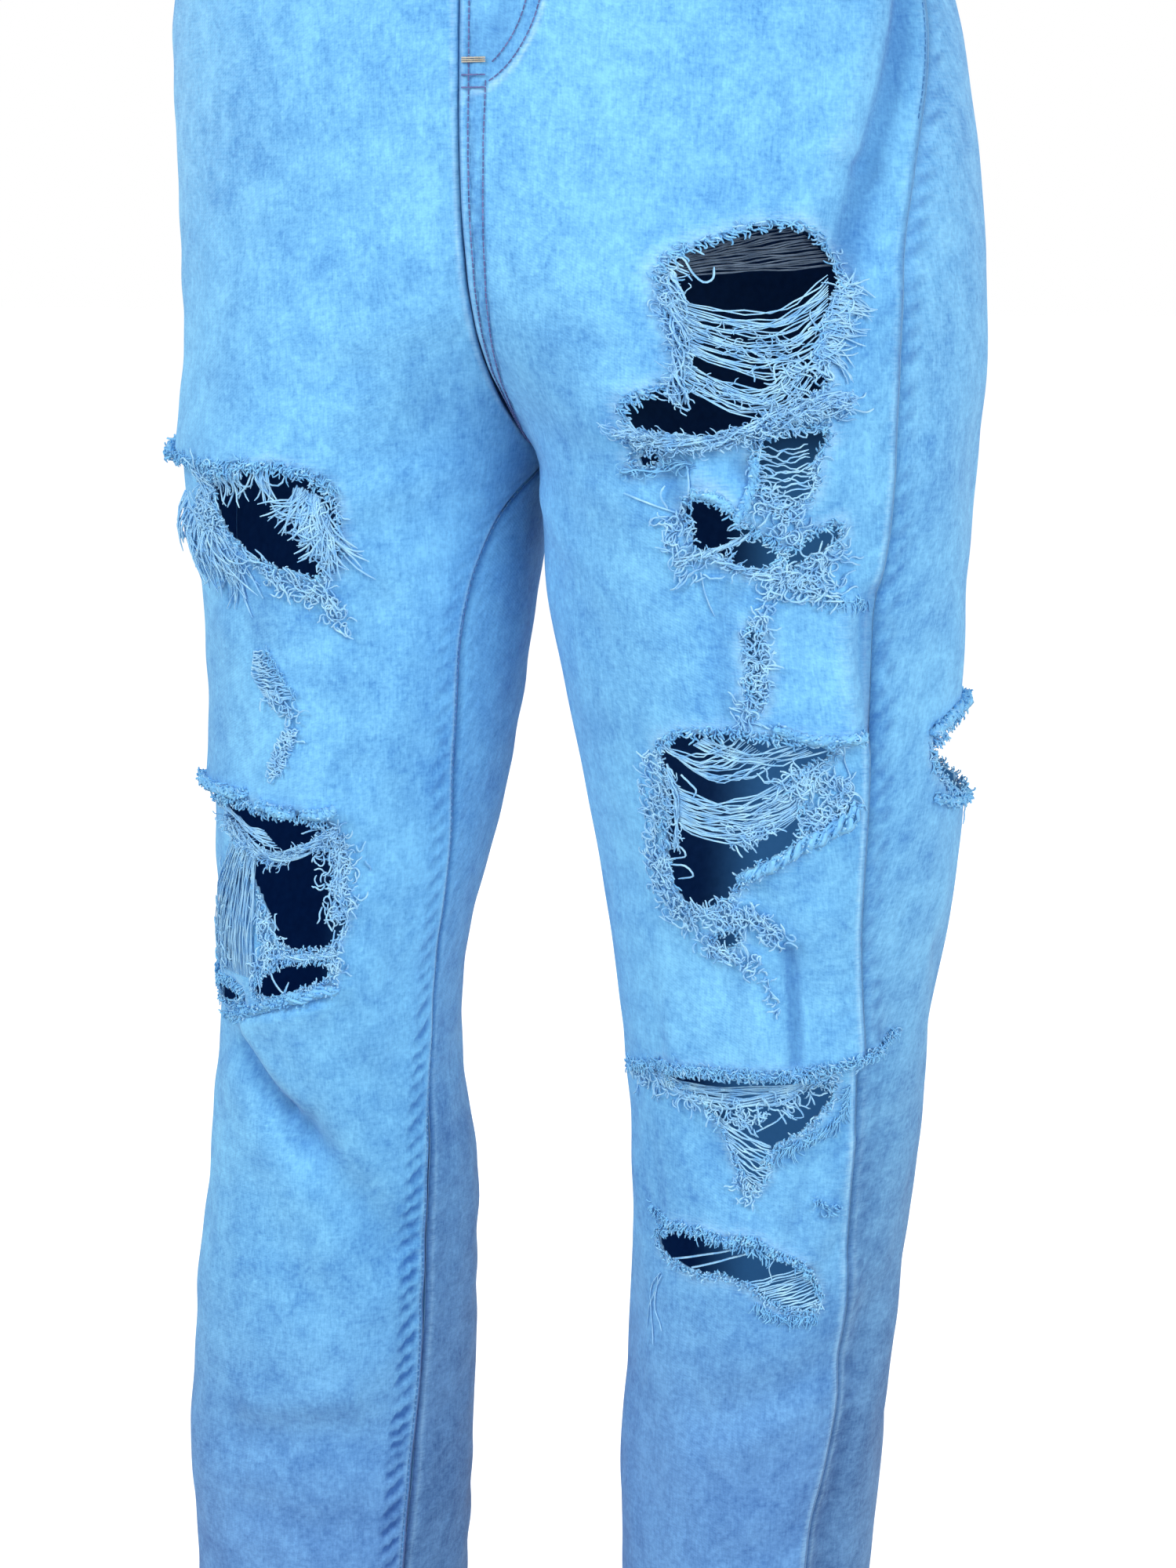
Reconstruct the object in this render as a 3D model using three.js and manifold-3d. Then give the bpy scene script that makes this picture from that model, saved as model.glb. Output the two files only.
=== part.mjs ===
// High-waisted ripped jeans, filled out as when worn and empty inside. Millimetres, +Z up, the front
// faces -Y and the wearer's left is +X. The origin is the middle of the waistband, half way up it.
import * as THREE from "three";
import Module from "manifold-3d";

const wasm = await Module();
wasm.setup();

// Driving dimensions.
const CLOTH = 1.5; // one layer of denim
const SEAM_GAP = 0.3; // between neighbouring pieces, and under a piece that lies on another
const WAIST_TOP = 20;
const WAIST_BOTTOM = -20;
const CROTCH = -336;
const HEM = -1000;
const LEFT = 1; // sides are the wearer's
const RIGHT = -1;

// The form under the cloth. Each leg is a stack of ovals; above the crotch the two ovals meet in the
// middle plane, where the rise seams run. Every list holds [height, value] from the waist down.
// How far past the middle plane an oval would reach, as a share of its outer half width:
const REACH = [
  [20, 1], [-70, 1], [-120, 0.98], [-180, 0.92], [-235, 0.66], [-270, 0.38], [-295, 0.19], [-315, 0.07],
  [-329, 0.013], [CROTCH, 0],
];
const HIP_FRONT = [
  [20, -100], [-20, -104], [-70, -110], [-120, -114], [-180, -116], [-240, -116], [-290, -114],
  [CROTCH, -112], [-360, -109],
];
const HIP_BACK = [
  [20, 104], [-20, 108], [-70, 118], [-120, 128], [-180, 134], [-240, 135], [-290, 130],
  [CROTCH, 121], [-360, 115],
];
const FORM = {
  [LEFT]: {
    outer: [
      [20, 138], [-20, 144], [-70, 163], [-120, 177], [-180, 191], [-240, 197], [-290, 199], [CROTCH, 198],
      [-400, 196], [-500, 196], [-600, 187], [-700, 177], [-820, 166], [HEM, 154],
    ],
    inner: [[CROTCH, 0.2], [-360, 1], [-400, 5], [-500, 26], [-600, 39], [-700, 43], [-820, 37], [HEM, 38]],
    front: [...HIP_FRONT, [-400, -104], [-500, -90], [-600, -70], [-700, -56], [-820, -50], [HEM, -46]],
    back: [...HIP_BACK, [-400, 107], [-500, 88], [-600, 66], [-700, 66], [-820, 66], [HEM, 60]],
    turn: [[CROTCH, 0], [-360, -1], [-400, -5], [-500, 0], [-600, 10], [-700, 16], [-820, 18], [HEM, 18]],
    outseam: [
      [20, 0], [-20, 0], [-140, 13], [-200, 24], [-240, 30], [-285, 35], [-330, 38], [-400, 38], [-440, 41],
      [-540, 53], [-620, 58], [-700, 60], [-780, 56], [-860, 66], [HEM, 66],
    ],
    inseam: [[CROTCH, 180], [-400, 188], [-500, 196], [-620, 202], [HEM, 206]],
  },
  [RIGHT]: {
    outer: [
      [20, 138], [-20, 144], [-70, 163], [-120, 180], [-180, 183], [-240, 179], [-290, 177], [CROTCH, 175],
      [-400, 171], [-500, 171], [-600, 170], [-700, 184], [-820, 198], [HEM, 198],
    ],
    inner: [[CROTCH, 0.2], [-360, 8], [-400, 13], [-500, 29], [-600, 51], [-700, 48], [-820, 51], [HEM, 60]],
    front: [...HIP_FRONT, [-400, -102], [-500, -92], [-600, -84], [-700, -62], [-820, -52], [HEM, -46]],
    back: [...HIP_BACK, [-400, 107], [-500, 96], [-600, 76], [-700, 72], [-820, 66], [HEM, 60]],
    turn: [[CROTCH, 0], [-360, -2], [-400, -9], [-500, -15], [-600, -18], [HEM, -18]],
    outseam: [[20, 0], [-140, 0], [-300, -6], [-500, -12], [-700, -16], [HEM, -18]],
    inseam: [
      [CROTCH, 180], [-360, 160], [-400, 140], [-460, 136], [-520, 139], [-600, 146], [-650, 140], [-700, 134],
      [-800, 131], [-900, 125], [HEM, 122],
    ],
  },
};
const WAIST_TILT = 0.08; // the waist is higher behind
const TILT_ENDS = -160;

// The largest folds: soft troughs (depth below zero) and ridges between two places given as
// [degrees round the leg, height]. 0 degrees is the outer side, 90 the front and 180 the inner side.
const FOLDS = {
  [LEFT]: [
    { from: [14, -110], to: [42, -240], width: 14, depth: -6 },
    { from: [48, -738], to: [58, -880], width: 14, depth: -5 },
    { from: [115, -785], to: [60, -756], width: 16, depth: -3.5 },
    { from: [-40, -350], to: [-140, -372], width: 20, depth: -4 },
    { from: [-40, -562], to: [-150, -588], width: 16, depth: -5 },
    { from: [-30, -615], to: [-120, -640], width: 15, depth: -4 },
  ],
  [RIGHT]: [
    { from: [35, -612], to: [78, -658], width: 14, depth: -6 },
    { from: [78, -658], to: [118, -725], width: 15, depth: -5 },
    { from: [52, -833], to: [104, -826], width: 16, depth: -3.5 },
    { from: [168, -562], to: [240, -580], width: 15, depth: -6 },
    { from: [-40, -352], to: [-140, -372], width: 20, depth: -4 },
    { from: [-30, -604], to: [-110, -632], width: 15, depth: -4 },
  ],
};
const MEAN_RADIUS = 90; // turns degrees round the leg into a distance along the cloth

// The rips that go right through the cloth, as outlines of [degrees round the leg, height].
const RIPS = {
  front_left: [
    [[74, -248], [64, -238], [52, -234], [44, -244], [48, -274], [54, -292], [62, -305], [80, -305], [82, -292]],
    [[98, -307], [88, -310], [66, -310], [54, -302], [52, -318], [66, -324], [92, -329], [104, -328]],
    [[89, -343], [66, -343], [53, -357], [55, -366], [70, -376], [84, -364]],
    [[100, -451], [66, -447], [50, -453], [54, -480], [72, -502], [84, -513], [94, -529], [111, -532], [114, -493]],
    [[140, -609], [96, -605], [70, -602], [68, -617], [74, -640], [94, -640], [102, -625], [128, -623]],
    [[148, -696], [118, -685], [87, -692], [72, -706], [76, -725], [102, -713], [142, -717]],
  ],
  back_left: [[[23, -459], [5, -448], [-20, -444], [-48, -449], [-58, -464], [-50, -480], [-20, -487], [5, -482]]],
  front_right: [
    [[50, -335], [74, -330], [105, -336], [108, -345], [97, -388], [88, -396], [70, -385], [57, -374]],
    [[36, -496], [59, -493], [87, -493], [94, -517], [96, -548], [92, -577], [56, -592], [26, -588], [33, -545]],
  ],
};
const RIP_OUT = 40; // how far a cutting plug stands out of the cloth, and how far it goes in
const RIP_IN = -40;

// Closures, pockets and trim.
const YOKE_SIDE = -52; // lower edge of the yoke at the outseam
const YOKE_MIDDLE = -88; // and at the middle of the back
const BAND_OUT = 1.2; // the waistband stands this far outside the panels
const BAND_WALL = 3;
const BAND_STEP = [352, 359.6]; // degrees over which the waistband steps in behind its button end
const UNDERLAP = 13.5; // degrees of waistband that pass behind it
const SCOOP_WIDTH = 95; // front pocket opening along the waist, and down the outseam
const SCOOP_DEPTH = 75;
const FACING_MARGIN = 24;
const WAIST_RADIUS = 118; // mean distance from the axis along the front pocket opening
const FLY_WIDTH = 36;
const FLY_STRAIGHT = -125; // the J stitching turns in below this height
const FLY_END = -178;
const POCKET = { middle: 88, top: -110, bottom: -252, point: 14, wide: 144, narrow: 126 };
const LOOP = { width: 11, top: 19, bottom: -31, wall: 1.4, bow: 2.4 };
const LOOP_ANGLES = [57, -48, -90, -132, 123];
const BUTTON_ANGLE = 85;
const BUTTON = { radius: 8.5, edge: 0.8, rim: 1.8, lip: 2.6, dish: 4, dishHeight: 2.2, dome: 3 };
const SHANK = { radius: 2.8, length: 3.1 };
const EYELET_RADIUS = 3.6;
const ZIP = { half: 13, top: -26, bottom: -166, depth: -8, wall: 1 };
const SLIDER = { width: 8, foot: 4.8, height: 14, depth: 2, clear: 1.4, middle: -36 };
const HEM_HEIGHT = 16;
const OUTLINE_SPARE = 6; // outlines of trimmed pieces run this far past the panel, in millimetres or degrees

const radians = THREE.MathUtils.degToRad;
const lerp = THREE.MathUtils.lerp;

// Reads a [height, value] list as one smooth curve through its values.
function curve(list, z) {
  const last = list.length - 1;
  if (z >= list[0][0]) return list[0][1];
  if (z <= list[last][0]) return list[last][1];
  const k = list.findIndex(([height]) => height < z) - 1;
  const slope = (i) => {
    const above = list[Math.max(i - 1, 0)];
    const below = list[Math.min(i + 1, last)];
    return (below[1] - above[1]) / (below[0] - above[0]);
  };
  const [z0, p0] = list[k];
  const [z1, p1] = list[k + 1];
  const step = z1 - z0;
  const s = (z - z0) / step;
  const blend = s * s * (3 - 2 * s);
  const bend = s * (1 - s) * ((1 - s) * slope(k) - s * slope(k + 1)) * step;
  return p0 * (1 - blend) + p1 * blend + bend;
}

// The oval of one leg at a height: its centre, half width, half depth and turn.
function section(side, z) {
  const form = FORM[side];
  const outer = curve(form.outer, z);
  const inner = z > CROTCH ? -curve(REACH, z) * outer : curve(form.inner, z);
  const front = curve(form.front, z);
  const back = curve(form.back, z);
  return {
    x: (inner + outer) / 2,
    y: (front + back) / 2,
    halfWidth: (outer - inner) / 2,
    halfDepth: (back - front) / 2,
    turn: radians(curve(form.turn, z)),
  };
}

function foldDepth(side, angle, z) {
  const place = new THREE.Vector3(angle * MEAN_RADIUS, z, 0);
  return FOLDS[side].reduce((depth, fold) => {
    const line = new THREE.Line3(
      new THREE.Vector3(radians(fold.from[0]) * MEAN_RADIUS, fold.from[1], 0),
      new THREE.Vector3(radians(fold.to[0]) * MEAN_RADIUS, fold.to[1], 0),
    );
    const nearest = line.closestPointToPoint(place, true, new THREE.Vector3());
    return depth + fold.depth * Math.exp(-((nearest.distanceTo(place) / fold.width) ** 2));
  }, 0);
}

// A point of the garment: angle round the leg in radians, height, and distance outside the cloth's face.
function formPoint(side, angle, z, out = 0) {
  const oval = section(side, z);
  const normal = new THREE.Vector2(Math.cos(angle) / oval.halfWidth, -Math.sin(angle) / oval.halfDepth);
  normal.normalize().multiplyScalar(out + foldDepth(side, angle, z));
  const local = new THREE.Vector2(oval.halfWidth * Math.cos(angle), -oval.halfDepth * Math.sin(angle));
  local.add(normal).rotateAround(new THREE.Vector2(), oval.turn);
  const y = oval.y + local.y;
  const tilt = THREE.MathUtils.clamp((z - TILT_ENDS) / (WAIST_BOTTOM - TILT_ENDS), 0, 1);
  return new THREE.Vector3(side * (oval.x + local.x), y, z + WAIST_TILT * y * tilt);
}

// Half a seam gap, as an angle of the oval at this place.
function gapAngle(side, angle, z) {
  const oval = section(side, z);
  return SEAM_GAP / 2 / Math.hypot(oval.halfWidth * Math.sin(angle), oval.halfDepth * Math.cos(angle));
}

// Where the rise seam cuts the oval in front, as an angle; behind it is the same angle below zero.
function riseAngle(side, z) {
  const oval = section(side, z);
  const angle = Math.acos(THREE.MathUtils.clamp((SEAM_GAP / 2 - oval.x) / oval.halfWidth, -1, 1));
  return Math.min(angle, Math.PI - gapAngle(side, Math.PI, z));
}

// The angle of a panel's point: across is 0 at the outseam and 1 at the rise seam or inseam. Near the
// crotch the rise seam sweeps in fast, so only the columns next to it follow it.
function panelAngle(side, panel, across, z) {
  const outseam = radians(curve(FORM[side].outseam, z));
  const outer = outseam + panel.facing * gapAngle(side, outseam, z);
  if (z > CROTCH) {
    const inner = panel.facing * Math.PI;
    const back = inner - panel.facing * riseAngle(side, z);
    const power = THREE.MathUtils.clamp((0.75 * (inner - outer)) / back, 1, 6);
    return lerp(outer, inner, across) - back * across ** power;
  }
  const inseam = radians(curve(FORM[side].inseam, z)) - (panel.facing < 0 ? 2 * Math.PI : 0);
  return lerp(outer, inseam - panel.facing * gapAngle(side, inseam, z), across);
}

const evenly = (count) => Array.from({ length: count + 1 }, (_, k) => k / count);
const LEG_ROWS = [
  -150, -185, -215, -243, -268, -292, -310, -322, -330, -334, CROTCH, -345, -358, -375, -400, -430, -465, -500,
  -535, -562, -586, -610, -635, -660, -690, -725, -758, -790, -825, -870, -925, HEM + HEM_HEIGHT, HEM,
];
// The front's upper rows end level with those of the yoke and the back along the outseam.
const FRONT = { facing: 1, columns: evenly(9), rows: [WAIST_BOTTOM, -36, YOKE_SIDE, -101, ...LEG_ROWS] };
const BACK = { facing: -1, columns: evenly(10), rows: [WAIST_BOTTOM, -85, ...LEG_ROWS] };

const yokeEdge = (across) => lerp(YOKE_SIDE, YOKE_MIDDLE, across);

// The height of a panel's point. The upper rows of the back close up under the yoke.
function panelHeight(panel, across, row) {
  const top = (panel === BACK ? yokeEdge(across) : WAIST_BOTTOM) - SEAM_GAP / 2;
  const share = Math.max(0, (row - LEG_ROWS[0]) / (WAIST_BOTTOM - LEG_ROWS[0]));
  return row + (top - WAIST_BOTTOM) * share;
}

function panelPoint(side, panel, across, row, out) {
  const z = panelHeight(panel, across, row);
  return formPoint(side, panelAngle(side, panel, across, z), z, out);
}

// A closed wall between two faces of a grid of points. A round wall's last column meets its first.
function wall(columns, rows, pointAt, outFace, inFace, round = false) {
  const points = [outFace, inFace].flatMap((out) =>
    rows.flatMap((row) => columns.map((column) => pointAt(column, row, out))),
  );
  const across = columns.length;
  const grid = across * rows.length;
  const triangles = [];
  const quad = (a, b, c, d) => triangles.push(a, b, c, a, c, d);
  const next = (i) => (i + 1) % across;
  const lastColumn = round ? across : across - 1;
  for (let j = 0; j < rows.length - 1; j++) {
    for (let i = 0; i < lastColumn; i++) {
      const [a, b, c, d] = [j * across + i, j * across + next(i), (j + 1) * across + next(i), (j + 1) * across + i];
      quad(a, b, c, d);
      quad(a + grid, d + grid, c + grid, b + grid);
    }
    if (!round) {
      const left = j * across;
      const right = left + across - 1;
      quad(left, left + across, left + across + grid, left + grid);
      quad(right, right + grid, right + grid + across, right + across);
    }
  }
  const bottom = (rows.length - 1) * across;
  for (let i = 0; i < lastColumn; i++) {
    quad(i, i + grid, next(i) + grid, next(i));
    quad(bottom + i, bottom + next(i), bottom + next(i) + grid, bottom + i + grid);
  }
  return outward(points, triangles);
}

// A solid from points and triangles, turned to face outwards.
function outward(points, triangles) {
  const cross = new THREE.Vector3();
  let volume = 0;
  for (let k = 0; k < triangles.length; k += 3) {
    const [a, b, c] = triangles.slice(k, k + 3).map((index) => points[index]);
    volume += a.dot(cross.crossVectors(b, c));
  }
  if (volume < 0) triangles.reverse();
  const vertProperties = new Float32Array(points.flatMap((point) => point.toArray()));
  return new wasm.Manifold(new wasm.Mesh({ numProp: 3, vertProperties, triVerts: new Uint32Array(triangles) }));
}

// A plug through the cloth: an outline of [radians round the leg, height], carried outwards and inwards.
function plug(side, outline, outFace, inFace) {
  const flat = outline.map(([angle, z]) => new THREE.Vector2(angle * MEAN_RADIUS, z));
  const cap = THREE.ShapeUtils.triangulateShape(flat, []);
  const count = outline.length;
  const points = [outFace, inFace].flatMap((out) => outline.map(([angle, z]) => formPoint(side, angle, z, out)));
  const clockwise = THREE.ShapeUtils.isClockWise(flat);
  const triangles = cap.flatMap(([a, b, c]) => [a, b, c, a + count, c + count, b + count]);
  for (let k = 0; k < count; k++) {
    const next = (k + 1) % count;
    const side0 = clockwise ? [next, k] : [k, next];
    triangles.push(side0[1], side0[0], side0[0] + count, side0[1], side0[0] + count, side0[1] + count);
  }
  return outward(points, triangles);
}

// A piece that lies on a panel or behind it: the panel's points moved, trimmed to an outline.
function patch(side, panel, outFace, inFace, outline) {
  const pointAt = (across, row, out) => panelPoint(side, panel, across, row, out);
  const sheet = wall(panel.columns, panel.rows, pointAt, outFace, inFace);
  return sheet.intersect(plug(side, outline, RIP_OUT, RIP_IN));
}

const jeans = new THREE.Group();

const denim = new THREE.MeshStandardMaterial({ color: 0x7fbdf2, roughness: 0.88, metalness: 0 });
const bandDenim = new THREE.MeshStandardMaterial({ color: 0x78b4ec, roughness: 0.86, metalness: 0 });
const facingDenim = new THREE.MeshStandardMaterial({ color: 0x5f9bd8, roughness: 0.9, metalness: 0 });
const zipCotton = new THREE.MeshStandardMaterial({ color: 0x27405f, roughness: 0.9, metalness: 0 });
const metal = new THREE.MeshStandardMaterial({ color: 0xb08a5a, roughness: 0.35, metalness: 1 });

function place(name, solid, material) {
  const mesh = solid.getMesh();
  const geometry = new THREE.BufferGeometry();
  geometry.setAttribute("position", new THREE.BufferAttribute(mesh.vertProperties, 3));
  geometry.setIndex(new THREE.BufferAttribute(mesh.triVerts, 1));
  geometry.computeVertexNormals();
  const piece = new THREE.Mesh(geometry, material);
  piece.name = name;
  jeans.add(piece);
}

const inRadians = (outline) => outline.map(([degrees, z]) => [radians(degrees), z]);

// The edge of a front pocket opening, or of its facing when grown by a margin: a quarter oval from the
// waist to the outseam, closed round the panel's corner.
function scoopOutline(side, margin) {
  const corner = curve(FORM[side].outseam, WAIST_BOTTOM);
  const arc = evenly(8).map((share) => {
    const turn = (share * Math.PI) / 2;
    const width = (SCOOP_WIDTH + margin) * Math.cos(turn);
    const z = WAIST_BOTTOM - (SCOOP_DEPTH + margin) * Math.sin(turn);
    return [radians(corner) + width / WAIST_RADIUS, z];
  });
  const top = WAIST_BOTTOM + OUTLINE_SPARE;
  const last = arc[arc.length - 1];
  const outside = last[0] - radians(OUTLINE_SPARE);
  return [[arc[0][0], top], ...arc, [outside, last[1]], [outside, top]];
}

// Front legs, with the pocket opening and the rips cut away, and the pocket facing that shows in it.
function frontPanel(side, word) {
  const pointAt = (across, row, out) => panelPoint(side, FRONT, across, row, out);
  let panel = wall(FRONT.columns, FRONT.rows, pointAt, 0, -CLOTH);
  panel = panel.subtract(plug(side, scoopOutline(side, 0), RIP_OUT, RIP_IN));
  for (const rip of RIPS["front_" + word]) {
    panel = panel.subtract(plug(side, inRadians(rip), RIP_OUT, RIP_IN));
  }
  place("front_" + word, panel, denim);
  const behind = -CLOTH - SEAM_GAP;
  const facing = patch(side, FRONT, behind, behind - CLOTH, scoopOutline(side, FACING_MARGIN));
  place("pocket_facing_" + word, facing, facingDenim);
}

// Back legs, yokes and patch pockets.
function backPanel(side, word) {
  const pointAt = (across, row, out) => panelPoint(side, BACK, across, row, out);
  let panel = wall(BACK.columns, BACK.rows, pointAt, 0, -CLOTH);
  for (const rip of RIPS["back_" + word] ?? []) {
    panel = panel.subtract(plug(side, inRadians(rip), RIP_OUT, RIP_IN));
  }
  place("back_" + word, panel, denim);

  const yokePoint = (across, down, out) => {
    const z = lerp(WAIST_BOTTOM - SEAM_GAP / 2, yokeEdge(across) + SEAM_GAP / 2, down);
    return formPoint(side, panelAngle(side, BACK, across, z), z, out);
  };
  place("yoke_" + word, wall(BACK.columns, evenly(2), yokePoint, 0, -CLOTH), denim);

  const angleAt = (x, z) => {
    const oval = section(side, z);
    return -Math.acos((x - oval.x) / oval.halfWidth);
  };
  const corner = (x, z) => [angleAt(POCKET.middle + x, z), z];
  const outline = [
    corner(-POCKET.wide / 2, POCKET.top),
    corner(POCKET.wide / 2, POCKET.top),
    corner(POCKET.narrow / 2, POCKET.bottom + POCKET.point),
    corner(0, POCKET.bottom),
    corner(-POCKET.narrow / 2, POCKET.bottom + POCKET.point),
  ];
  place("back_pocket_" + word, patch(side, BACK, SEAM_GAP + CLOTH, SEAM_GAP, outline), denim);
}

// The hem's turned-up edge inside one leg, a closed ring behind both panels.
function hem(side, word) {
  const front = FRONT.columns.slice(0, -1).map((across) => [FRONT, across]);
  const back = BACK.columns.slice(1).reverse().map((across) => [BACK, across]);
  const ringPoint = ([panel, across], row, out) => panelPoint(side, panel, across, row, out);
  const behind = -CLOTH - SEAM_GAP;
  const ring = wall([...front, ...back], [HEM + HEM_HEIGHT, HEM], ringPoint, behind, behind - CLOTH, true);
  place("hem_" + word, ring, denim);
}

for (const [side, word] of [[LEFT, "left"], [RIGHT, "right"]]) {
  frontPanel(side, word);
  backPanel(side, word);
  hem(side, word);
}

// Waistband: it starts at the button end in front, goes round by the wearer's left, and ends in the
// underlap, which steps in behind the button end.
function waistband() {
  const stepIn = BAND_WALL + SEAM_GAP;
  const [stepStart, stepEnd] = BAND_STEP;
  const turns = [...evenly(26).map((share) => stepStart * share), 356, stepEnd, 365, 360 + UNDERLAP];
  const bandPoint = (degrees, z, out) => {
    const step = THREE.MathUtils.smoothstep(degrees, stepStart, stepEnd) * stepIn;
    return formPoint(LEFT, radians(90 - degrees), z, out - step);
  };
  const band = wall(turns, [WAIST_TOP, WAIST_BOTTOM + SEAM_GAP / 2], bandPoint, BAND_OUT, BAND_OUT - BAND_WALL);
  const eyelet = evenly(12).slice(1).map((share) => {
    const turn = share * 2 * Math.PI;
    const along = (EYELET_RADIUS * Math.cos(turn)) / section(LEFT, 0).halfWidth;
    return [radians(BUTTON_ANGLE) + along, EYELET_RADIUS * Math.sin(turn)];
  });
  const innerFace = BAND_OUT - BAND_WALL - SEAM_GAP / 2;
  place("waistband", band.subtract(plug(LEFT, eyelet, BAND_OUT + BAND_WALL, innerFace)), bandDenim);
}
waistband();

// Belt loops, each bowed a little away from the waistband.
LOOP_ANGLES.forEach((degrees, k) => {
  const loopPoint = (across, down, out) => {
    const z = lerp(LOOP.top, LOOP.bottom, down);
    const angle = radians(degrees) + ((across - 0.5) * LOOP.width) / section(LEFT, z).halfWidth;
    return formPoint(LEFT, angle, z, out + LOOP.bow * Math.sin(Math.PI * down));
  };
  const inside = BAND_OUT + SEAM_GAP;
  place("belt_loop_" + (k + 1), wall(evenly(1), evenly(4), loopPoint, inside + LOOP.wall, inside), bandDenim);
});

// The domed button and its shank, which passes through the eyelet to just above the underlap.
function button() {
  const profile = [
    [0, -SHANK.length], [SHANK.radius, -SHANK.length], [SHANK.radius, 0], [BUTTON.radius - BUTTON.edge, 0],
    [BUTTON.radius, BUTTON.edge], [BUTTON.radius, BUTTON.rim], [BUTTON.radius - BUTTON.edge, BUTTON.lip],
    [BUTTON.dish, BUTTON.dishHeight], [0, BUTTON.dome],
  ].map(([radius, height]) => new THREE.Vector2(radius, height));
  const geometry = new THREE.LatheGeometry(profile, 16);
  const angle = radians(BUTTON_ANGLE);
  const seat = formPoint(LEFT, angle, 0, BAND_OUT + SEAM_GAP);
  const nearby = radians(3);
  const around = formPoint(LEFT, angle - nearby, 0).sub(formPoint(LEFT, angle + nearby, 0));
  const upwards = formPoint(LEFT, angle, WAIST_TOP).sub(formPoint(LEFT, angle, WAIST_BOTTOM));
  const outwards = around.cross(upwards).normalize();
  const piece = new THREE.Mesh(geometry, metal);
  piece.name = "button";
  piece.position.copy(seat);
  piece.quaternion.setFromUnitVectors(new THREE.Vector3(0, 1, 0), outwards);
  jeans.add(piece);
}
button();

// The fly: a facing behind the left front, the zip tape deeper in, and the closed slider between them.
function fly() {
  const edge = SEAM_GAP;
  const angleAt = (x, z) => {
    const oval = section(LEFT, z);
    return Math.acos((x - oval.x) / oval.halfWidth);
  };
  const turnIn = evenly(6).map((share) => {
    const turn = (share * Math.PI) / 2;
    return [FLY_WIDTH * Math.cos(turn), FLY_STRAIGHT + (FLY_END - FLY_STRAIGHT) * Math.sin(turn)];
  });
  const top = WAIST_BOTTOM + OUTLINE_SPARE;
  const outline = [[edge, top], [FLY_WIDTH, top], ...turnIn.slice(0, -1), [edge, FLY_END]];
  const behind = -CLOTH - SEAM_GAP;
  const facing = patch(LEFT, FRONT, behind, behind - CLOTH, outline.map(([x, z]) => [angleAt(x, z), z]));
  place("fly_facing", facing, facingDenim);

  const tapePoint = (x, z, out) => {
    const side = x < 0 ? RIGHT : LEFT;
    const oval = section(side, z);
    return formPoint(side, Math.acos((Math.abs(x) - oval.x) / oval.halfWidth), z, out);
  };
  const across = [-1, -0.5, 0, 0.5, 1].map((share) => share * ZIP.half);
  const down = evenly(6).map((share) => lerp(ZIP.top, ZIP.bottom, share));
  place("zip_tape", wall(across, down, tapePoint, ZIP.depth, ZIP.depth - ZIP.wall), zipCotton);

  const shape = new THREE.Shape();
  shape.moveTo(-SLIDER.foot / 2, -SLIDER.height / 2);
  shape.lineTo(SLIDER.foot / 2, -SLIDER.height / 2);
  shape.lineTo(SLIDER.width / 2, SLIDER.height / 2);
  shape.lineTo(-SLIDER.width / 2, SLIDER.height / 2);
  shape.closePath();
  const geometry = new THREE.ExtrudeGeometry(shape, { depth: SLIDER.depth, bevelEnabled: false });
  const piece = new THREE.Mesh(geometry, metal);
  piece.name = "zip_slider";
  piece.rotation.x = Math.PI / 2;
  piece.position.copy(tapePoint(0, SLIDER.middle, ZIP.depth + SLIDER.clear));
  jeans.add(piece);
}
fly();

export default jeans;
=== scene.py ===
import math
import random

import bmesh
import bpy
import numpy as np
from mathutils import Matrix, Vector


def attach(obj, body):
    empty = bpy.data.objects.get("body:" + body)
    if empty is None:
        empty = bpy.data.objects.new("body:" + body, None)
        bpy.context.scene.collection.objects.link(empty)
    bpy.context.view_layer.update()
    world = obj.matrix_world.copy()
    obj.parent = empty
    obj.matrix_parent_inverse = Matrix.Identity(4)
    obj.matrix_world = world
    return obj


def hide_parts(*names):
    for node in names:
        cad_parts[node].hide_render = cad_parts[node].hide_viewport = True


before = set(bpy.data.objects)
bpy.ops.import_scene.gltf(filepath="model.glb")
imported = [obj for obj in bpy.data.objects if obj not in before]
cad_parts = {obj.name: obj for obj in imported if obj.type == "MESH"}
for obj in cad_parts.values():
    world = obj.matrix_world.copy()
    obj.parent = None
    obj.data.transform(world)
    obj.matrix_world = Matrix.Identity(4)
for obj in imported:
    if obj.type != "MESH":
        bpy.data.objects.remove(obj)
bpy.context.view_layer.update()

# The view: a portrait camera at the height of the hips, a little to the wearer's left and aimed at the
# knees, soft studio light mostly from the front, and a plain pale floor just below the hems.
AIM = Vector((0.018, 0.0, -0.492))
FLOOR = -1.02
turn_left = math.radians(18)
look_down = math.radians(12)
backwards = Vector((
    math.sin(turn_left) * math.cos(look_down),
    -math.cos(turn_left) * math.cos(look_down),
    math.sin(look_down),
))
bpy.ops.object.camera_add(location=AIM + 1.2 * backwards)
camera = bpy.context.object
camera.rotation_mode = "QUATERNION"
camera.rotation_quaternion = (-backwards).to_track_quat("-Z", "Y")
camera.data.lens = 57.6
camera.data.sensor_width = 36
camera.data.clip_start = 0.05
bpy.context.scene.camera = camera
bpy.context.scene.view_settings.view_transform = "Standard"


def soft_light(name, place, size, power):
    bpy.ops.object.light_add(type="AREA", location=place)
    light = bpy.context.object
    light.name = name
    light.rotation_mode = "QUATERNION"
    light.rotation_quaternion = (AIM - Vector(place)).to_track_quat("-Z", "Y")
    light.data.size = size
    light.data.energy = power


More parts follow.
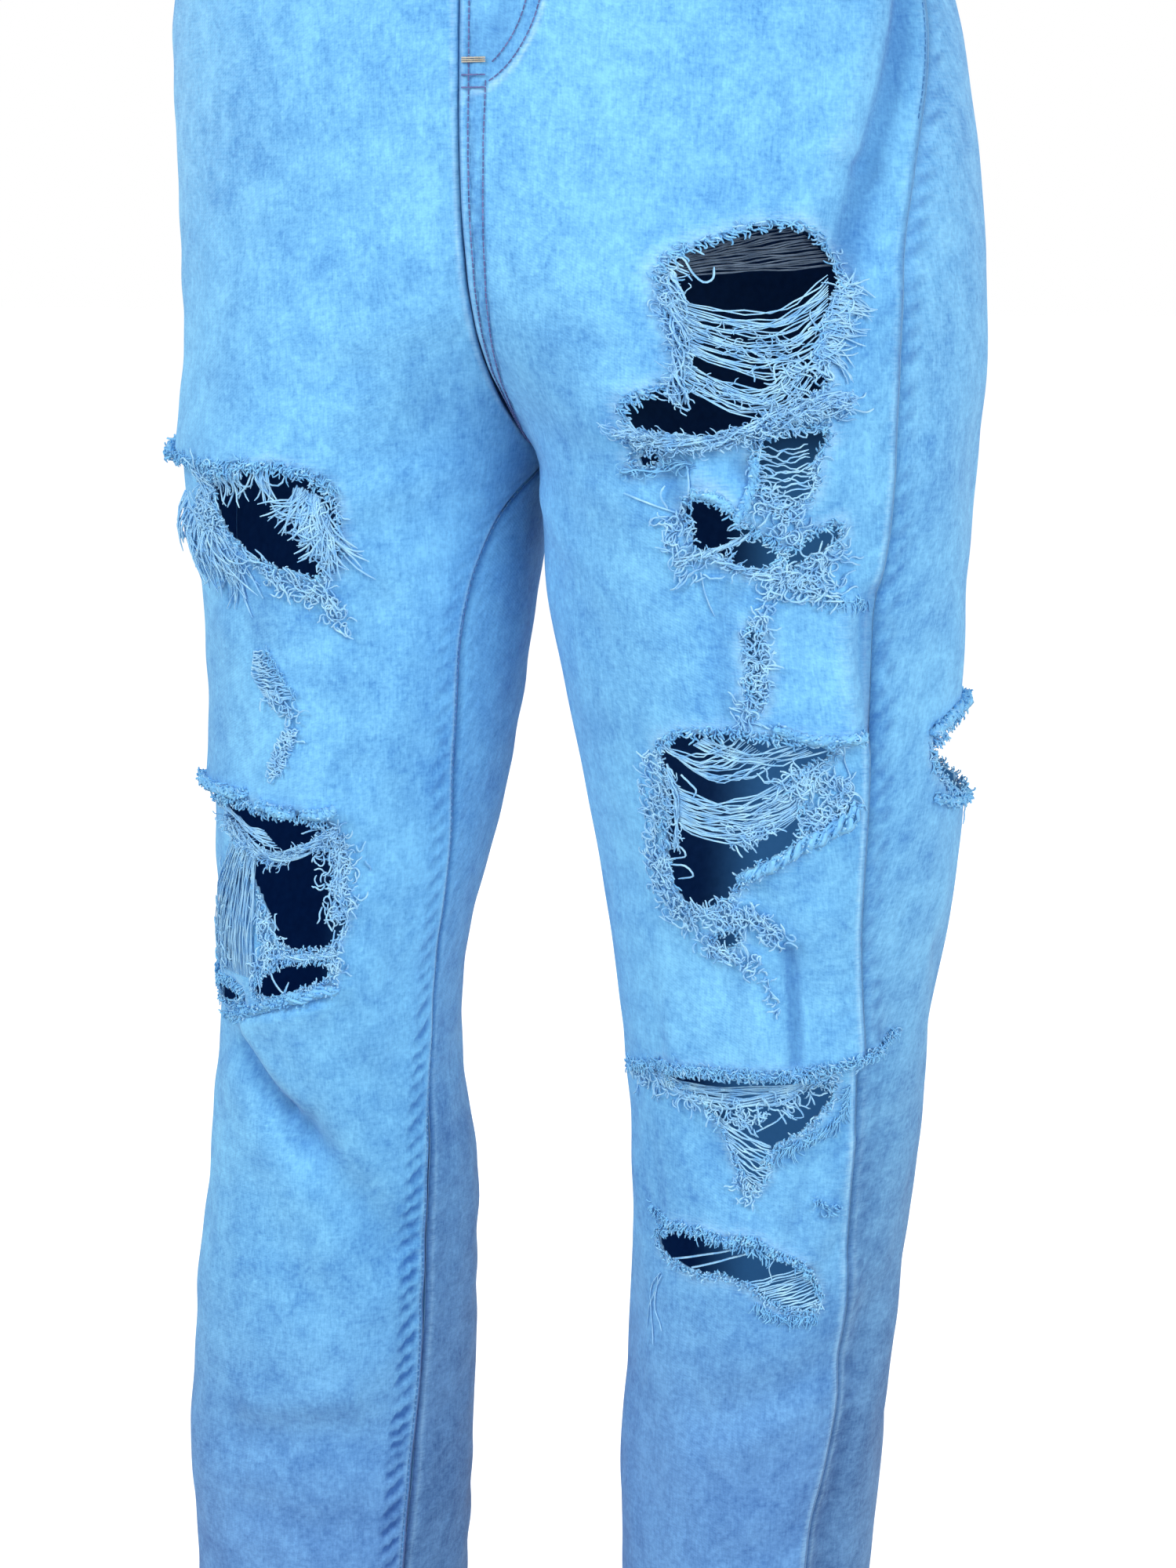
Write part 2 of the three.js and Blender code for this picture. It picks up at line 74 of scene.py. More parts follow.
soft_light("key_light", (-1.3, -1.9, 1.1), 1.1, 40)
soft_light("fill_light", (1.8, -1.4, 0.35), 1.3, 30)
soft_light("back_light", (0.4, 2.4, 0.8), 1.6, 14)


def add_node(tree, kind, settings=None, **values):
    made = tree.nodes.new(kind)
    for name, value in (settings or {}).items():
        setattr(made, name, value)
    for name, value in values.items():
        socket = made.inputs[name.replace("_", " ")]
        if isinstance(value, bpy.types.NodeSocket):
            tree.links.new(value, socket)
        else:
            socket.default_value = value
    return made


def maths(tree, operation, *values, clamp=False):
    made = tree.nodes.new("ShaderNodeMath")
    made.operation = operation
    made.use_clamp = clamp
    for k, value in enumerate(values):
        if isinstance(value, bpy.types.NodeSocket):
            tree.links.new(value, made.inputs[k])
        else:
            made.inputs[k].default_value = value
    return made.outputs[0]


def mix_colours(tree, share, first, second, blend="MIX"):
    made = tree.nodes.new("ShaderNodeMix")
    made.data_type = "RGBA"
    made.blend_type = blend
    for socket, value in ((made.inputs[0], share), (made.inputs[6], first), (made.inputs[7], second)):
        if isinstance(value, bpy.types.NodeSocket):
            tree.links.new(value, socket)
        else:
            socket.default_value = value
    return made.outputs[2]


def smooth_share(tree, value, start, end):
    """0 at start, 1 at end, eased between them."""
    settings = {"interpolation_type": "SMOOTHSTEP"}
    made = add_node(tree, "ShaderNodeMapRange", settings, Value=value, From_Min=start, From_Max=end)
    return made.outputs[0]


def new_material(name, **values):
    made = bpy.data.materials.new(name)
    made.use_nodes = True
    shader = made.node_tree.nodes["Principled BSDF"]
    for socket, value in values.items():
        shader.inputs[socket.replace("_", " ")].default_value = value
    return made, made.node_tree, shader


studio = bpy.data.worlds.new("studio")
studio.use_nodes = True
bpy.context.scene.world = studio
sky = studio.node_tree
direction = add_node(sky, "ShaderNodeTexCoord").outputs["Generated"]
rise_up = add_node(sky, "ShaderNodeSeparateXYZ", Vector=direction).outputs["Z"]
overhead = smooth_share(sky, rise_up, 0.12, 0.55)
sky_colour = mix_colours(sky, overhead, (0.86, 0.88, 0.92, 1), (0.5, 0.51, 0.53, 1))
seen = add_node(sky, "ShaderNodeLightPath").outputs["Is Camera Ray"]
sky_colour = mix_colours(sky, seen, sky_colour, (1, 1, 1, 1))
sky.links.new(sky_colour, sky.nodes["Background"].inputs["Color"])

bpy.ops.mesh.primitive_plane_add(size=60, location=(0, 0, FLOOR))
floor = bpy.context.object
floor.name = "floor"
floor_finish, floor_tree, floor_shader = new_material(
    "pale floor", Base_Color=(0.62, 0.62, 0.62, 1), Roughness=0.9, Specular_IOR_Level=0.1,
    Emission_Color=(1, 1, 1, 1),
)
floor_seen = add_node(floor_tree, "ShaderNodeLightPath").outputs["Is Camera Ray"]
floor_glow = maths(floor_tree, "MULTIPLY", floor_seen, 0.7)
floor_tree.links.new(floor_glow, floor_shader.inputs["Emission Strength"])
floor.data.materials.append(floor_finish)

# The form the cloth hangs on: both legs filled out as when worn. Each leg is a stack of ovals, given
# from the waist down in millimetres; above the crotch the two ovals meet in the middle plane.
MM = 0.001
LEFT = 1
RIGHT = -1
SIDES = {LEFT: "left", RIGHT: "right"}
FRONT = 1
BACK = -1
CLOTH = 1.5
SEAM_GAP = 0.3
WAIST_TOP = 20
WAIST_BOTTOM = -20
CROTCH = -336
HEM = -1000
MEAN_RADIUS = 90
REACH = [
    (20, 1), (-70, 1), (-120, 0.98), (-180, 0.92), (-235, 0.66), (-270, 0.38), (-295, 0.19), (-315, 0.07),
    (-329, 0.013), (CROTCH, 0),
]
HIP_FRONT = [
    (20, -100), (-20, -104), (-70, -110), (-120, -114), (-180, -116), (-240, -116), (-290, -114),
    (CROTCH, -112), (-360, -109),
]
HIP_BACK = [
    (20, 104), (-20, 108), (-70, 118), (-120, 128), (-180, 134), (-240, 135), (-290, 130), (CROTCH, 121),
    (-360, 115),
]
LEG = {
    LEFT: {
        "outer": [
            (20, 138), (-20, 144), (-70, 163), (-120, 177), (-180, 191), (-240, 197), (-290, 199),
            (CROTCH, 198), (-400, 196), (-500, 196), (-600, 187), (-700, 177), (-820, 166), (HEM, 154),
        ],
        "inner": [
            (CROTCH, 0.2), (-360, 1), (-400, 5), (-500, 26), (-600, 39), (-700, 43), (-820, 37), (HEM, 38),
        ],
        "front": [*HIP_FRONT, (-400, -104), (-500, -90), (-600, -70), (-700, -56), (-820, -50), (HEM, -46)],
        "back": [*HIP_BACK, (-400, 107), (-500, 88), (-600, 66), (-700, 66), (-820, 66), (HEM, 60)],
        "turn": [
            (CROTCH, 0), (-360, -1), (-400, -5), (-500, 0), (-600, 10), (-700, 16), (-820, 18), (HEM, 18),
        ],
        "outseam": [
            (20, 0), (-20, 0), (-140, 13), (-200, 24), (-240, 30), (-285, 35), (-330, 38), (-400, 38),
            (-440, 41), (-540, 53), (-620, 58), (-700, 60), (-780, 56), (-860, 66), (HEM, 66),
        ],
        "inseam": [(CROTCH, 180), (-400, 188), (-500, 196), (-620, 202), (HEM, 206)],
    },
    RIGHT: {
        "outer": [
            (20, 138), (-20, 144), (-70, 163), (-120, 180), (-180, 183), (-240, 179), (-290, 177),
            (CROTCH, 175), (-400, 171), (-500, 171), (-600, 170), (-700, 184), (-820, 198), (HEM, 198),
        ],
        "inner": [
            (CROTCH, 0.2), (-360, 8), (-400, 13), (-500, 29), (-600, 51), (-700, 48), (-820, 51), (HEM, 60),
        ],
        "front": [*HIP_FRONT, (-400, -102), (-500, -92), (-600, -84), (-700, -62), (-820, -52), (HEM, -46)],
        "back": [*HIP_BACK, (-400, 107), (-500, 96), (-600, 76), (-700, 72), (-820, 66), (HEM, 60)],
        "turn": [(CROTCH, 0), (-360, -2), (-400, -9), (-500, -15), (-600, -18), (HEM, -18)],
        "outseam": [(20, 0), (-140, 0), (-300, -6), (-500, -12), (-700, -16), (HEM, -18)],
        "inseam": [
            (CROTCH, 180), (-360, 160), (-400, 140), (-460, 136), (-520, 139), (-600, 146), (-650, 140),
            (-700, 134), (-800, 131), (-900, 125), (HEM, 122),
        ],
    },
}


def unit(value):
    return np.clip(value, 0, 1)


def smooth(value):
    """From 0 to 1, eased at both ends."""
    value = unit(value)
    return value * value * (3 - 2 * value)


def bell(away, width, power=2):
    return np.exp(-((away / width) ** power))


def curve(places, z):
    """A smooth curve through places given as (height, value)."""
    known = np.array(sorted(places), float)
    slope = np.empty(len(known))
    slope[1:-1] = (known[2:, 1] - known[:-2, 1]) / (known[2:, 0] - known[:-2, 0])
    slope[0] = (known[1, 1] - known[0, 1]) / (known[1, 0] - known[0, 0])
    slope[-1] = (known[-1, 1] - known[-2, 1]) / (known[-1, 0] - known[-2, 0])
    z = np.clip(z, known[0, 0], known[-1, 0])
    i = np.clip(np.searchsorted(known[:, 0], z, side="right") - 1, 0, len(known) - 2)
    step = known[i + 1, 0] - known[i, 0]
    s = (z - known[i, 0]) / step
    blend = smooth(s)
    bend = s * (1 - s) * ((1 - s) * slope[i] - s * slope[i + 1]) * step
    return known[i, 1] * (1 - blend) + known[i + 1, 1] * blend + bend


def oval(side, z):
    leg = LEG[side]
    outer = curve(leg["outer"], z)
    inner = np.where(z > CROTCH, -curve(REACH, z) * outer, curve(leg["inner"], z))
    front = curve(leg["front"], z)
    back = curve(leg["back"], z)
    turn = np.radians(curve(leg["turn"], z))
    return (inner + outer) / 2, (front + back) / 2, (outer - inner) / 2, (back - front) / 2, turn


# Soft troughs (below zero) and ridges between two places given as (degrees round the leg, height),
# then width and depth. 0 degrees is the outer side, 90 the front and 180 the inner side. The first
# ones of each leg are the large folds that the plain form has too; the others are drag lines and
# whiskers at the crotch, knees and calves.
FOLDS = {
    LEFT: [
        ((14, -110), (42, -240), 14, -6), ((48, -738), (58, -880), 14, -5),
        ((115, -785), (60, -756), 16, -3.5), ((-40, -350), (-140, -372), 20, -4),
        ((-40, -562), (-150, -588), 16, -5), ((-30, -615), (-120, -640), 15, -4),
        ((15, -120), (35, -208), 4.5, -3.6), ((35, -208), (43, -250), 4.5, -3.0),
        ((23, -120), (40, -200), 7, 3.6), ((40, -200), (49, -238), 6, 2.4),
        ((47, -388), (49, -446), 5, 3.2), ((40, -385), (42, -446), 5, -3.4),
        ((77, -386), (81, -436), 6, -2.4), ((86, -335), (80, -350), 6, 4.5),
        ((95, -334), (92, -352), 4.5, -2.5), ((78, -330), (74, -342), 4, -2.2),
        ((128, -312), (96, -282), 11, -1.6), ((140, -330), (110, -345), 10, 1.4),
        ((150, -370), (118, -400), 14, -1.8), ((150, -350), (125, -372), 8, 1.2),
        ((77, -545), (80, -598), 4, -3.4), ((90, -552), (92, -600), 9, 2.2),
        ((65, -530), (62, -590), 12, 2.6), ((128, -520), (100, -560), 16, -1.6),
        ((60, -640), (70, -690), 6, 1.6), ((78, -650), (84, -690), 7, -1.8),
        ((120, -640), (100, -672), 14, -1.5), ((58, -708), (52, -745), 8, 2),
        ((108, -800), (70, -775), 9, 1.5), ((100, -862), (64, -840), 14, -2),
        ((130, -900), (80, -930), 18, -2.2), ((-60, -300), (-150, -320), 12, -2),
        ((-70, -335), (-160, -352), 10, 1.6), ((-60, -540), (-130, -556), 9, 1.8),
        ((-50, -590), (-140, -612), 8, 1.8), ((-90, -700), (-60, -760), 18, -2),
        ((0, -330), (-20, -430), 20, -2.4), ((10, -560), (-10, -640), 16, -2.4),
        ((12, -700), (4, -800), 14, -1.8),
    ],
    RIGHT: [
        ((35, -612), (78, -658), 14, -6), ((78, -658), (118, -725), 15, -5),
        ((52, -833), (104, -826), 16, -3.5), ((168, -562), (240, -580), 15, -6),
        ((-40, -352), (-140, -372), 20, -4), ((-30, -604), (-110, -632), 15, -4),
        ((163, -205), (158, -268), 12, -2.4), ((128, -318), (98, -290), 11, -1.4),
        ((140, -338), (112, -352), 9, 1.2), ((110, -398), (100, -470), 12, -2.0),
        ((122, -400), (112, -470), 10, 1.2), ((60, -398), (66, -440), 10, -1.4),
        ((40, -619), (69, -650), 5, -3.6), ((69, -650), (88, -668), 8, -2.2),
        ((88, -668), (118, -716), 12, -1.8), ((48, -610), (78, -644), 7, 2.8),
        ((92, -600), (118, -640), 14, -1.4), ((60, -700), (90, -760), 16, -1.6),
        ((60, -812), (100, -806), 10, 1.6), ((58, -872), (104, -880), 13, -2),
        ((128, -760), (112, -842), 9, -1.4), ((120, -560), (126, -620), 12, -1.4),
        ((-60, -300), (-150, -320), 12, -2), ((-70, -335), (-160, -352), 10, 1.6),
        ((-50, -585), (-130, -604), 8, 1.8), ((-90, -700), (-60, -770), 18, -2),
        ((0, -330), (-20, -430), 18, -2), ((-10, -690), (-30, -780), 16, -2),
    ],
}


def fold_height(side, angle, z, sharp=0):
    """The folds' height; sharp above zero counts a narrow fold for more than a wide one, for painted shade.
    """
    total = np.zeros(np.broadcast(angle, z).shape)
    for start, end, width, depth in FOLDS[side]:
        x0, y0 = math.radians(start[0]) * MEAN_RADIUS, start[1]
        dx, dy = math.radians(end[0]) * MEAN_RADIUS - x0, end[1] - y0
        share = ((angle * MEAN_RADIUS - x0) * dx + (z - y0) * dy) / (dx * dx + dy * dy)
        share = unit(share)
        away = np.hypot(angle * MEAN_RADIUS - x0 - share * dx, z - y0 - share * dy)
        total += depth * (6 / width) ** sharp * bell(away, width)
    return total


def ripple(along, z, size, seed):
    """Slow waves over the cloth, from about -1 to 1, in no order that the eye can follow."""
    draw = random.Random(seed)
    total = 0
    for _ in range(9):
        way = draw.uniform(0, math.pi)
        length = size * draw.uniform(0.6, 1.7)
        phase = draw.uniform(0, 2 * math.pi)
        total = total + np.sin(2 * math.pi * (along * math.cos(way) + z * math.sin(way)) / length + phase)
    return total / 3.2


# Where the cloth stands off the form beside a tear: (degrees, height) along the torn edge, how far
# the cloth above it stands out, and how far the cloth below sinks in.
LIFTED = {
    LEFT: [
        ([(128, -604), (111, -602), (94, -601), (72, -600), (58, -596), (48, -591)], 5.0, -2.0),
        ([(84, -441), (62, -445), (44, -446)], 3.0, -1.5),
        ([(140, -690), (110, -688), (84, -700), (72, -700)], 2.0, -1.5),
        ([(80, -505), (66, -492), (52, -483)], -1.5, 2.2),
    ],
    RIGHT: [
        ([(20, -331), (60, -333), (104, -336)], 2.5, -1.5),
        ([(12, -490), (58, -490), (92, -493)], 3.0, -1.5),
        ([(30, -603), (66, -589), (92, -580)], -2.0, 3.0),
    ],
}


def relief(side, angle, z, step=3.0):
    """How far the finished cloth stands out from the plain ovals; step is how fast it drops at a tear."""
    along = angle * MEAN_RADIUS
    total = fold_height(side, angle, z)
    total = total + 0.8 * ripple(along, z, 95, 3 + side) + 0.3 * ripple(along, z, 34, 11 + side)
    for edge, above, below in LIFTED[side]:
        line = np.array(sorted(edge), float)
        line[:, 0] = np.radians(line[:, 0]) * MEAN_RADIUS
        middle = np.interp(along, line[:, 0], line[:, 1])
        ends = np.minimum(along - line[0, 0], line[-1, 0] - along)
        window = smooth(ends / 14 + 0.5)
        over = z - middle
        share = unit(over / step + 2)
        outward = above * bell(np.maximum(over, 0), 26)
        inward = below * bell(np.minimum(over, 0), 18)
        total = total + window * (share * outward + (1 - share) * inward)
    top = unit((-z - 30) / 50)
    hem = unit((z - HEM) / 20)
    seam = unit((CROTCH + 8 - z) / 20)
    middle_plane = unit((math.pi - np.abs(angle)) / 0.5)
    return total * top * np.maximum(hem, 0.35) * np.maximum(seam, middle_plane)


def on_form(side, angle, z, out):
    """Places on the form: angle in radians, height and distance outside it in millimetres."""
    centre_x, centre_y, wide, deep, turn = oval(side, z)
    normal_x, normal_y = np.cos(angle) / wide, -np.sin(angle) / deep
    size = np.hypot(normal_x, normal_y)
    x = wide * np.cos(angle) + normal_x / size * out
    y = -deep * np.sin(angle) + normal_y / size * out
    place_x = side * (centre_x + x * np.cos(turn) - y * np.sin(turn))
    place_y = centre_y + x * np.sin(turn) + y * np.cos(turn)
    tilt = unit((z + 160) / 140)
    return np.stack(np.broadcast_arrays(place_x, place_y, z + 0.08 * place_y * tilt), -1) * MM


def on_cloth(side, angle, z, out=0.0):
    return on_form(side, angle, z, out + relief(side, angle, z))


def round_pace(side, angle, z):
    """Millimetres round the oval for one radian, at this place."""
    _, _, wide, deep, _ = oval(side, z)
    return np.hypot(wide * np.sin(angle), deep * np.cos(angle))


def panel_angle(side, facing, across, z):
    """across is 0 at the outseam and 1 at the rise seam or inseam."""
    leg = LEG[side]
    outseam = np.radians(curve(leg["outseam"], z))
    outer = outseam + facing * SEAM_GAP / 2 / round_pace(side, outseam, z)
    centre_x, _, wide, _, _ = oval(side, z)
    rise = np.arccos(np.clip((SEAM_GAP / 2 - centre_x) / wide, -1, 1))
    rise = np.minimum(rise, math.pi - SEAM_GAP / 2 / round_pace(side, math.pi, z))
    inner = facing * math.pi
    back = inner - facing * rise
    power = np.clip(0.75 * (inner - outer) / back, 1, 6)
    above = outer + (inner - outer) * across - back * across ** power
    inseam = np.radians(curve(leg["inseam"], z)) - (2 * math.pi if facing < 0 else 0)
    inseam = inseam - facing * SEAM_GAP / 2 / round_pace(side, inseam, z)
    return np.where(z > CROTCH, above, outer + (inseam - outer) * across)


# Washed denim: a twill of blue warp over pale weft, stone washed and bleached, so it is mottled, with
# fine streaks along both yarns. The Shade input darkens it with painted shade; the wear and highlight
# share pales it for real wear and painted highlight; the Low colours, lower down, are partly painted
# shade. The group is placed in each denim with that cloth's colours.
washed = bpy.data.node_groups.new("washed denim", "ShaderNodeTree")
for socket_name, kind in (
    ("Cloth", "NodeSocketVector"), ("Wear And Highlight", "NodeSocketFloat"), ("Shade", "NodeSocketFloat"),
    ("Low", "NodeSocketFloat"), ("Deep", "NodeSocketColor"), ("Pale", "NodeSocketColor"),
    ("Low Deep", "NodeSocketColor"), ("Low Pale", "NodeSocketColor"), ("Bare", "NodeSocketColor"),
    ("Mottle", "NodeSocketFloat"),
):
    washed.interface.new_socket(socket_name, in_out="INPUT", socket_type=kind)
for socket_name, kind in (
    ("Colour", "NodeSocketColor"), ("Roughness", "NodeSocketFloat"), ("Relief", "NodeSocketFloat"),
):
    washed.interface.new_socket(socket_name, in_out="OUTPUT", socket_type=kind)
given = washed.nodes.new("NodeGroupInput").outputs
result = washed.nodes.new("NodeGroupOutput").inputs
PAINTED_SHADE_COLOUR = (0.30, 0.42, 0.62, 1)


def cloth_noise(scale, stretch=(1, 1, 1), detail=2.0, roughness=0.5, distortion=0.0):
    stretched = add_node(washed, "ShaderNodeMapping", Vector=given["Cloth"], Scale=stretch)
    made = add_node(
        washed, "ShaderNodeTexNoise", Vector=stretched.outputs[0], Scale=scale, Detail=detail,
        Roughness=roughness, Distortion=distortion,
    )
    return maths(washed, "SUBTRACT", made.outputs[0], 0.5)


zones = cloth_noise(13, detail=2)
blotches = cloth_noise(88, (1, 0.75, 1), detail=5, roughness=0.62, distortion=0.3)
specks = cloth_noise(380, detail=3, roughness=0.7)
warp = cloth_noise(1100, (1, 0.14, 1), detail=2, roughness=0.6)
weft = cloth_noise(1100, (0.14, 1, 1), detail=2, roughness=0.6)
tone = maths(washed, "MULTIPLY_ADD", blotches, 1.15, 0.5)
tone = maths(washed, "MULTIPLY_ADD", zones, 0.8, tone)
tone = maths(washed, "MULTIPLY_ADD", specks, 1.1, tone)
tone = maths(washed, "SUBTRACT", tone, 0.5)
tone = maths(washed, "MULTIPLY", tone, given["Mottle"])
tone = maths(washed, "MULTIPLY_ADD", warp, 0.8, tone)
tone = maths(washed, "MULTIPLY_ADD", weft, 0.4, tone)
tone = maths(washed, "ADD", tone, 0.55, clamp=True)
deep = mix_colours(washed, given["Low"], given["Deep"], given["Low Deep"])
pale = mix_colours(washed, given["Low"], given["Pale"], given["Low Pale"])
cloth_colour = mix_colours(washed, tone, deep, pale)
# Pales the cloth towards bare weft, for real wear and for painted highlight.
bare_and_highlight_share = maths(washed, "MULTIPLY_ADD", weft, 1.6, given["Wear And Highlight"])
bare_and_highlight_share = maths(washed, "MULTIPLY_ADD", blotches, 0.8, bare_and_highlight_share)
bare_and_highlight_share = maths(washed, "MULTIPLY", bare_and_highlight_share, given["Wear And Highlight"], clamp=True)
cloth_colour = mix_colours(washed, bare_and_highlight_share, cloth_colour, given["Bare"])
# Painted shade: the Shade share multiplies the cloth towards a dark blue.
shade_share = maths(washed, "MULTIPLY_ADD", blotches, 1.4, 1.0)
shade_share = maths(washed, "MULTIPLY", shade_share, given["Shade"], clamp=True)
shaded = mix_colours(washed, 1.0, cloth_colour, PAINTED_SHADE_COLOUR, "MULTIPLY")
cloth_colour = mix_colours(washed, shade_share, cloth_colour, shaded)
washed.links.new(cloth_colour, result["Colour"])
rough = maths(washed, "MULTIPLY_ADD", warp, 0.12, 0.9)
washed.links.new(rough, result["Roughness"])
twill = add_node(washed, "ShaderNodeMapping", Vector=given["Cloth"], Rotation=(0, 0, math.radians(62)))
ribs = add_node(
    washed, "ShaderNodeTexWave", Vector=twill.outputs[0], Scale=260.0, Distortion=1.2, Detail=1.0
)
bumps = maths(washed, "MULTIPLY_ADD", ribs.outputs["Fac"], 0.2, warp)
bumps = maths(washed, "MULTIPLY_ADD", weft, 0.8, bumps)
bumps = maths(washed, "MULTIPLY_ADD", specks, 0.7, bumps)
washed.links.new(bumps, result["Relief"])


def object_noise(tree, scale, detail):
    place = add_node(tree, "ShaderNodeTexCoord").outputs["Object"]
    return add_node(tree, "ShaderNodeTexNoise", Vector=place, Scale=scale, Detail=detail).outputs[0]


def colour_between(tree, shader, share, first, second):
    colour = mix_colours(tree, share, (*first, 1), (*second, 1))
    tree.links.new(colour, shader.inputs["Base Color"])


def add_bump(tree, shader, height, strength, distance):
    raised = add_node(tree, "ShaderNodeBump", Height=height, Strength=strength, Distance=distance)
    tree.links.new(raised.outputs[0], shader.inputs["Normal"])


def denim(name, deep, pale, low_deep, low_pale, bare):
    made, tree, shader = new_material(name, Specular_IOR_Level=0.18, Sheen_Weight=0.12, Sheen_Roughness=0.6)
    cloth = add_node(tree, "ShaderNodeUVMap", {"uv_map": "cloth"}).outputs[0]
    group = add_node(tree, "ShaderNodeGroup", {"node_tree": washed}, Cloth=cloth, Mottle=1.3)
    for socket, attribute in (("Wear And Highlight", "wear_and_highlight"), ("Shade", "shade"), ("Low", "low")):
        read = add_node(tree, "ShaderNodeAttribute", {"attribute_name": attribute})
        tree.links.new(read.outputs["Fac"], group.inputs[socket])
    for socket, value in (
        ("Deep", deep), ("Pale", pale), ("Low Deep", low_deep), ("Low Pale", low_pale), ("Bare", bare)
    ):
        group.inputs[socket].default_value = (*value, 1)
    tree.links.new(group.outputs["Colour"], shader.inputs["Base Color"])
    tree.links.new(group.outputs["Roughness"], shader.inputs["Roughness"])
    add_bump(tree, shader, group.outputs["Relief"], 0.35, 0.0006)
    return made


front_denim = denim(
    "front denim", deep=(0.075, 0.285, 0.63), pale=(0.215, 0.58, 0.89), low_deep=(0.05, 0.16, 0.42),
    low_pale=(0.15, 0.355, 0.675), bare=(0.42, 0.70, 0.90),
)
# The back denim is the front one painted darker, most lower down: painted shade on sides away from light.
back_denim_painted_darker = denim(
    "back denim, painted darker", deep=(0.07, 0.27, 0.61), pale=(0.22, 0.58, 0.89), low_deep=(0.04, 0.12, 0.30),
    low_pale=(0.135, 0.30, 0.55), bare=(0.34, 0.58, 0.80),
)

# The inside of the cloth is painted dark, as painted shade inside the hollow legs. Below the crotch it
# glows a little with painted light, on the side of each leg that is towards the wearer's left.
inside_painted_dark, inside_tree, inside_shader = new_material(
    "inside of the denim, painted dark and glowing", Roughness=0.92, Specular_IOR_Level=0.1, Emission_Strength=1.0
)
inside_noise = object_noise(inside_tree, 260.0, 3.0)
colour_between(inside_tree, inside_shader, inside_noise, (0.014, 0.055, 0.15), (0.035, 0.11, 0.26))
inside_place = add_node(inside_tree, "ShaderNodeTexCoord").outputs["Object"]
inside_axes = add_node(inside_tree, "ShaderNodeSeparateXYZ", Vector=inside_place).outputs
left_leg = maths(inside_tree, "GREATER_THAN", inside_axes["X"], 0.0)
right_leg = maths(inside_tree, "SUBTRACT", 1.0, left_leg)
lit_left = smooth_share(inside_tree, inside_axes["X"], 0.058, 0.088)
lit_right = smooth_share(inside_tree, inside_axes["X"], -0.152, -0.125)
lit_share = maths(inside_tree, "MULTIPLY", lit_right, right_leg)
lit_share = maths(inside_tree, "MULTIPLY_ADD", lit_left, left_leg, lit_share)
below_crotch = smooth_share(inside_tree, inside_axes["Z"], -0.32, -0.36)
lit_share = maths(inside_tree, "MULTIPLY", lit_share, below_crotch)
inside_painted_glow = mix_colours(inside_tree, lit_share, (0, 0, 0, 1), (0.018, 0.075, 0.175, 1))
inside_tree.links.new(inside_painted_glow, inside_shader.inputs["Emission Color"])
torn_edge, torn_tree, torn_shader = new_material("torn edge", Roughness=0.95, Specular_IOR_Level=0.1)
torn_noise = object_noise(torn_tree, 900.0, 2.0)
colour_between(torn_tree, torn_shader, torn_noise, (0.14, 0.36, 0.62), (0.34, 0.58, 0.78))

# The four leg panels, cut from one cloth: each front and back is one sheet from waistband to hem, torn
# through at the thighs, knees and shins. The tears are outlines of (degrees, height).
TEARS = {
    (LEFT, FRONT): [
        [
            (74, -249), (77, -264), (80, -285), (84, -298), (90, -299), (100, -307), (101, -315),
            (92, -317), (80, -319), (74, -315), (69, -309), (63, -307), (57, -300), (53, -294), (54, -282),
            (51, -272), (46, -263), (44, -252), (45, -243), (48, -236), (52, -231), (61, -236), (68, -241),
        ],
        [(106, -331), (101, -326), (94, -324), (96, -328), (100, -330)],
        [(72, -317), (61, -313), (54, -316), (60, -325), (61, -343), (66, -347), (73, -343), (74, -325)],
        [
            (92, -349), (89, -342), (84, -343), (80, -348), (76, -357), (69, -361), (66, -367), (69, -373),
            (76, -372), (81, -366), (86, -367), (89, -358),
        ],
        [(66, -366), (60, -358), (53, -353), (52, -360), (59, -368), (65, -373)],
        [(72, -398), (69, -396), (68, -412), (71, -432), (75, -436), (73, -415)],
        [
            (104, -452), (94, -446), (80, -443), (66, -446), (53, -449), (54, -454), (66, -460), (67, -474),
            (64, -478), (66, -490), (74, -499), (84, -505), (88, -512), (94, -521), (100, -526),
            (108, -526), (112, -513), (110, -498), (106, -480), (104, -465),
        ],
        [(103, -543), (98, -536), (92, -535), (93, -541), (98, -545)],
        [
            (137, -608), (116, -606), (98, -605), (80, -604), (66, -609), (67, -616), (74, -627),
            (82, -636), (91, -641), (92, -652), (97, -664), (102, -660), (106, -645), (110, -629),
            (118, -619), (128, -614),
        ],
        [
            (147, -699), (138, -692), (123, -687), (110, -690), (100, -688), (90, -697), (78, -703),
            (70, -722), (76, -727), (84, -725), (92, -720), (100, -712), (110, -708), (120, -710),
            (138, -708),
        ],
    ],
    (RIGHT, FRONT): [
        [
            (63, -341), (76, -338), (88, -334), (102, -341), (107, -352), (105, -370), (95, -385),
            (86, -381), (74, -378), (68, -368), (63, -356),
        ],
        [
            (36, -493), (58, -495), (86, -498), (91, -510), (92, -530), (97, -546), (92, -560), (68, -563),
            (62, -548), (54, -530), (46, -515), (38, -505),
        ],
        [(68, -567), (90, -565), (93, -574), (78, -581), (60, -589), (50, -587), (58, -578)],
        [(12, -594), (30, -588), (46, -590), (40, -597), (16, -601)],
    ],
    (LEFT, BACK): [
        [(23, -459), (5, -448), (-20, -444), (-48, -449), (-58, -464), (-50, -480), (-20, -487), (5, -482)],
    ],
    (RIGHT, BACK): [],
}
TOOTH = 2.2


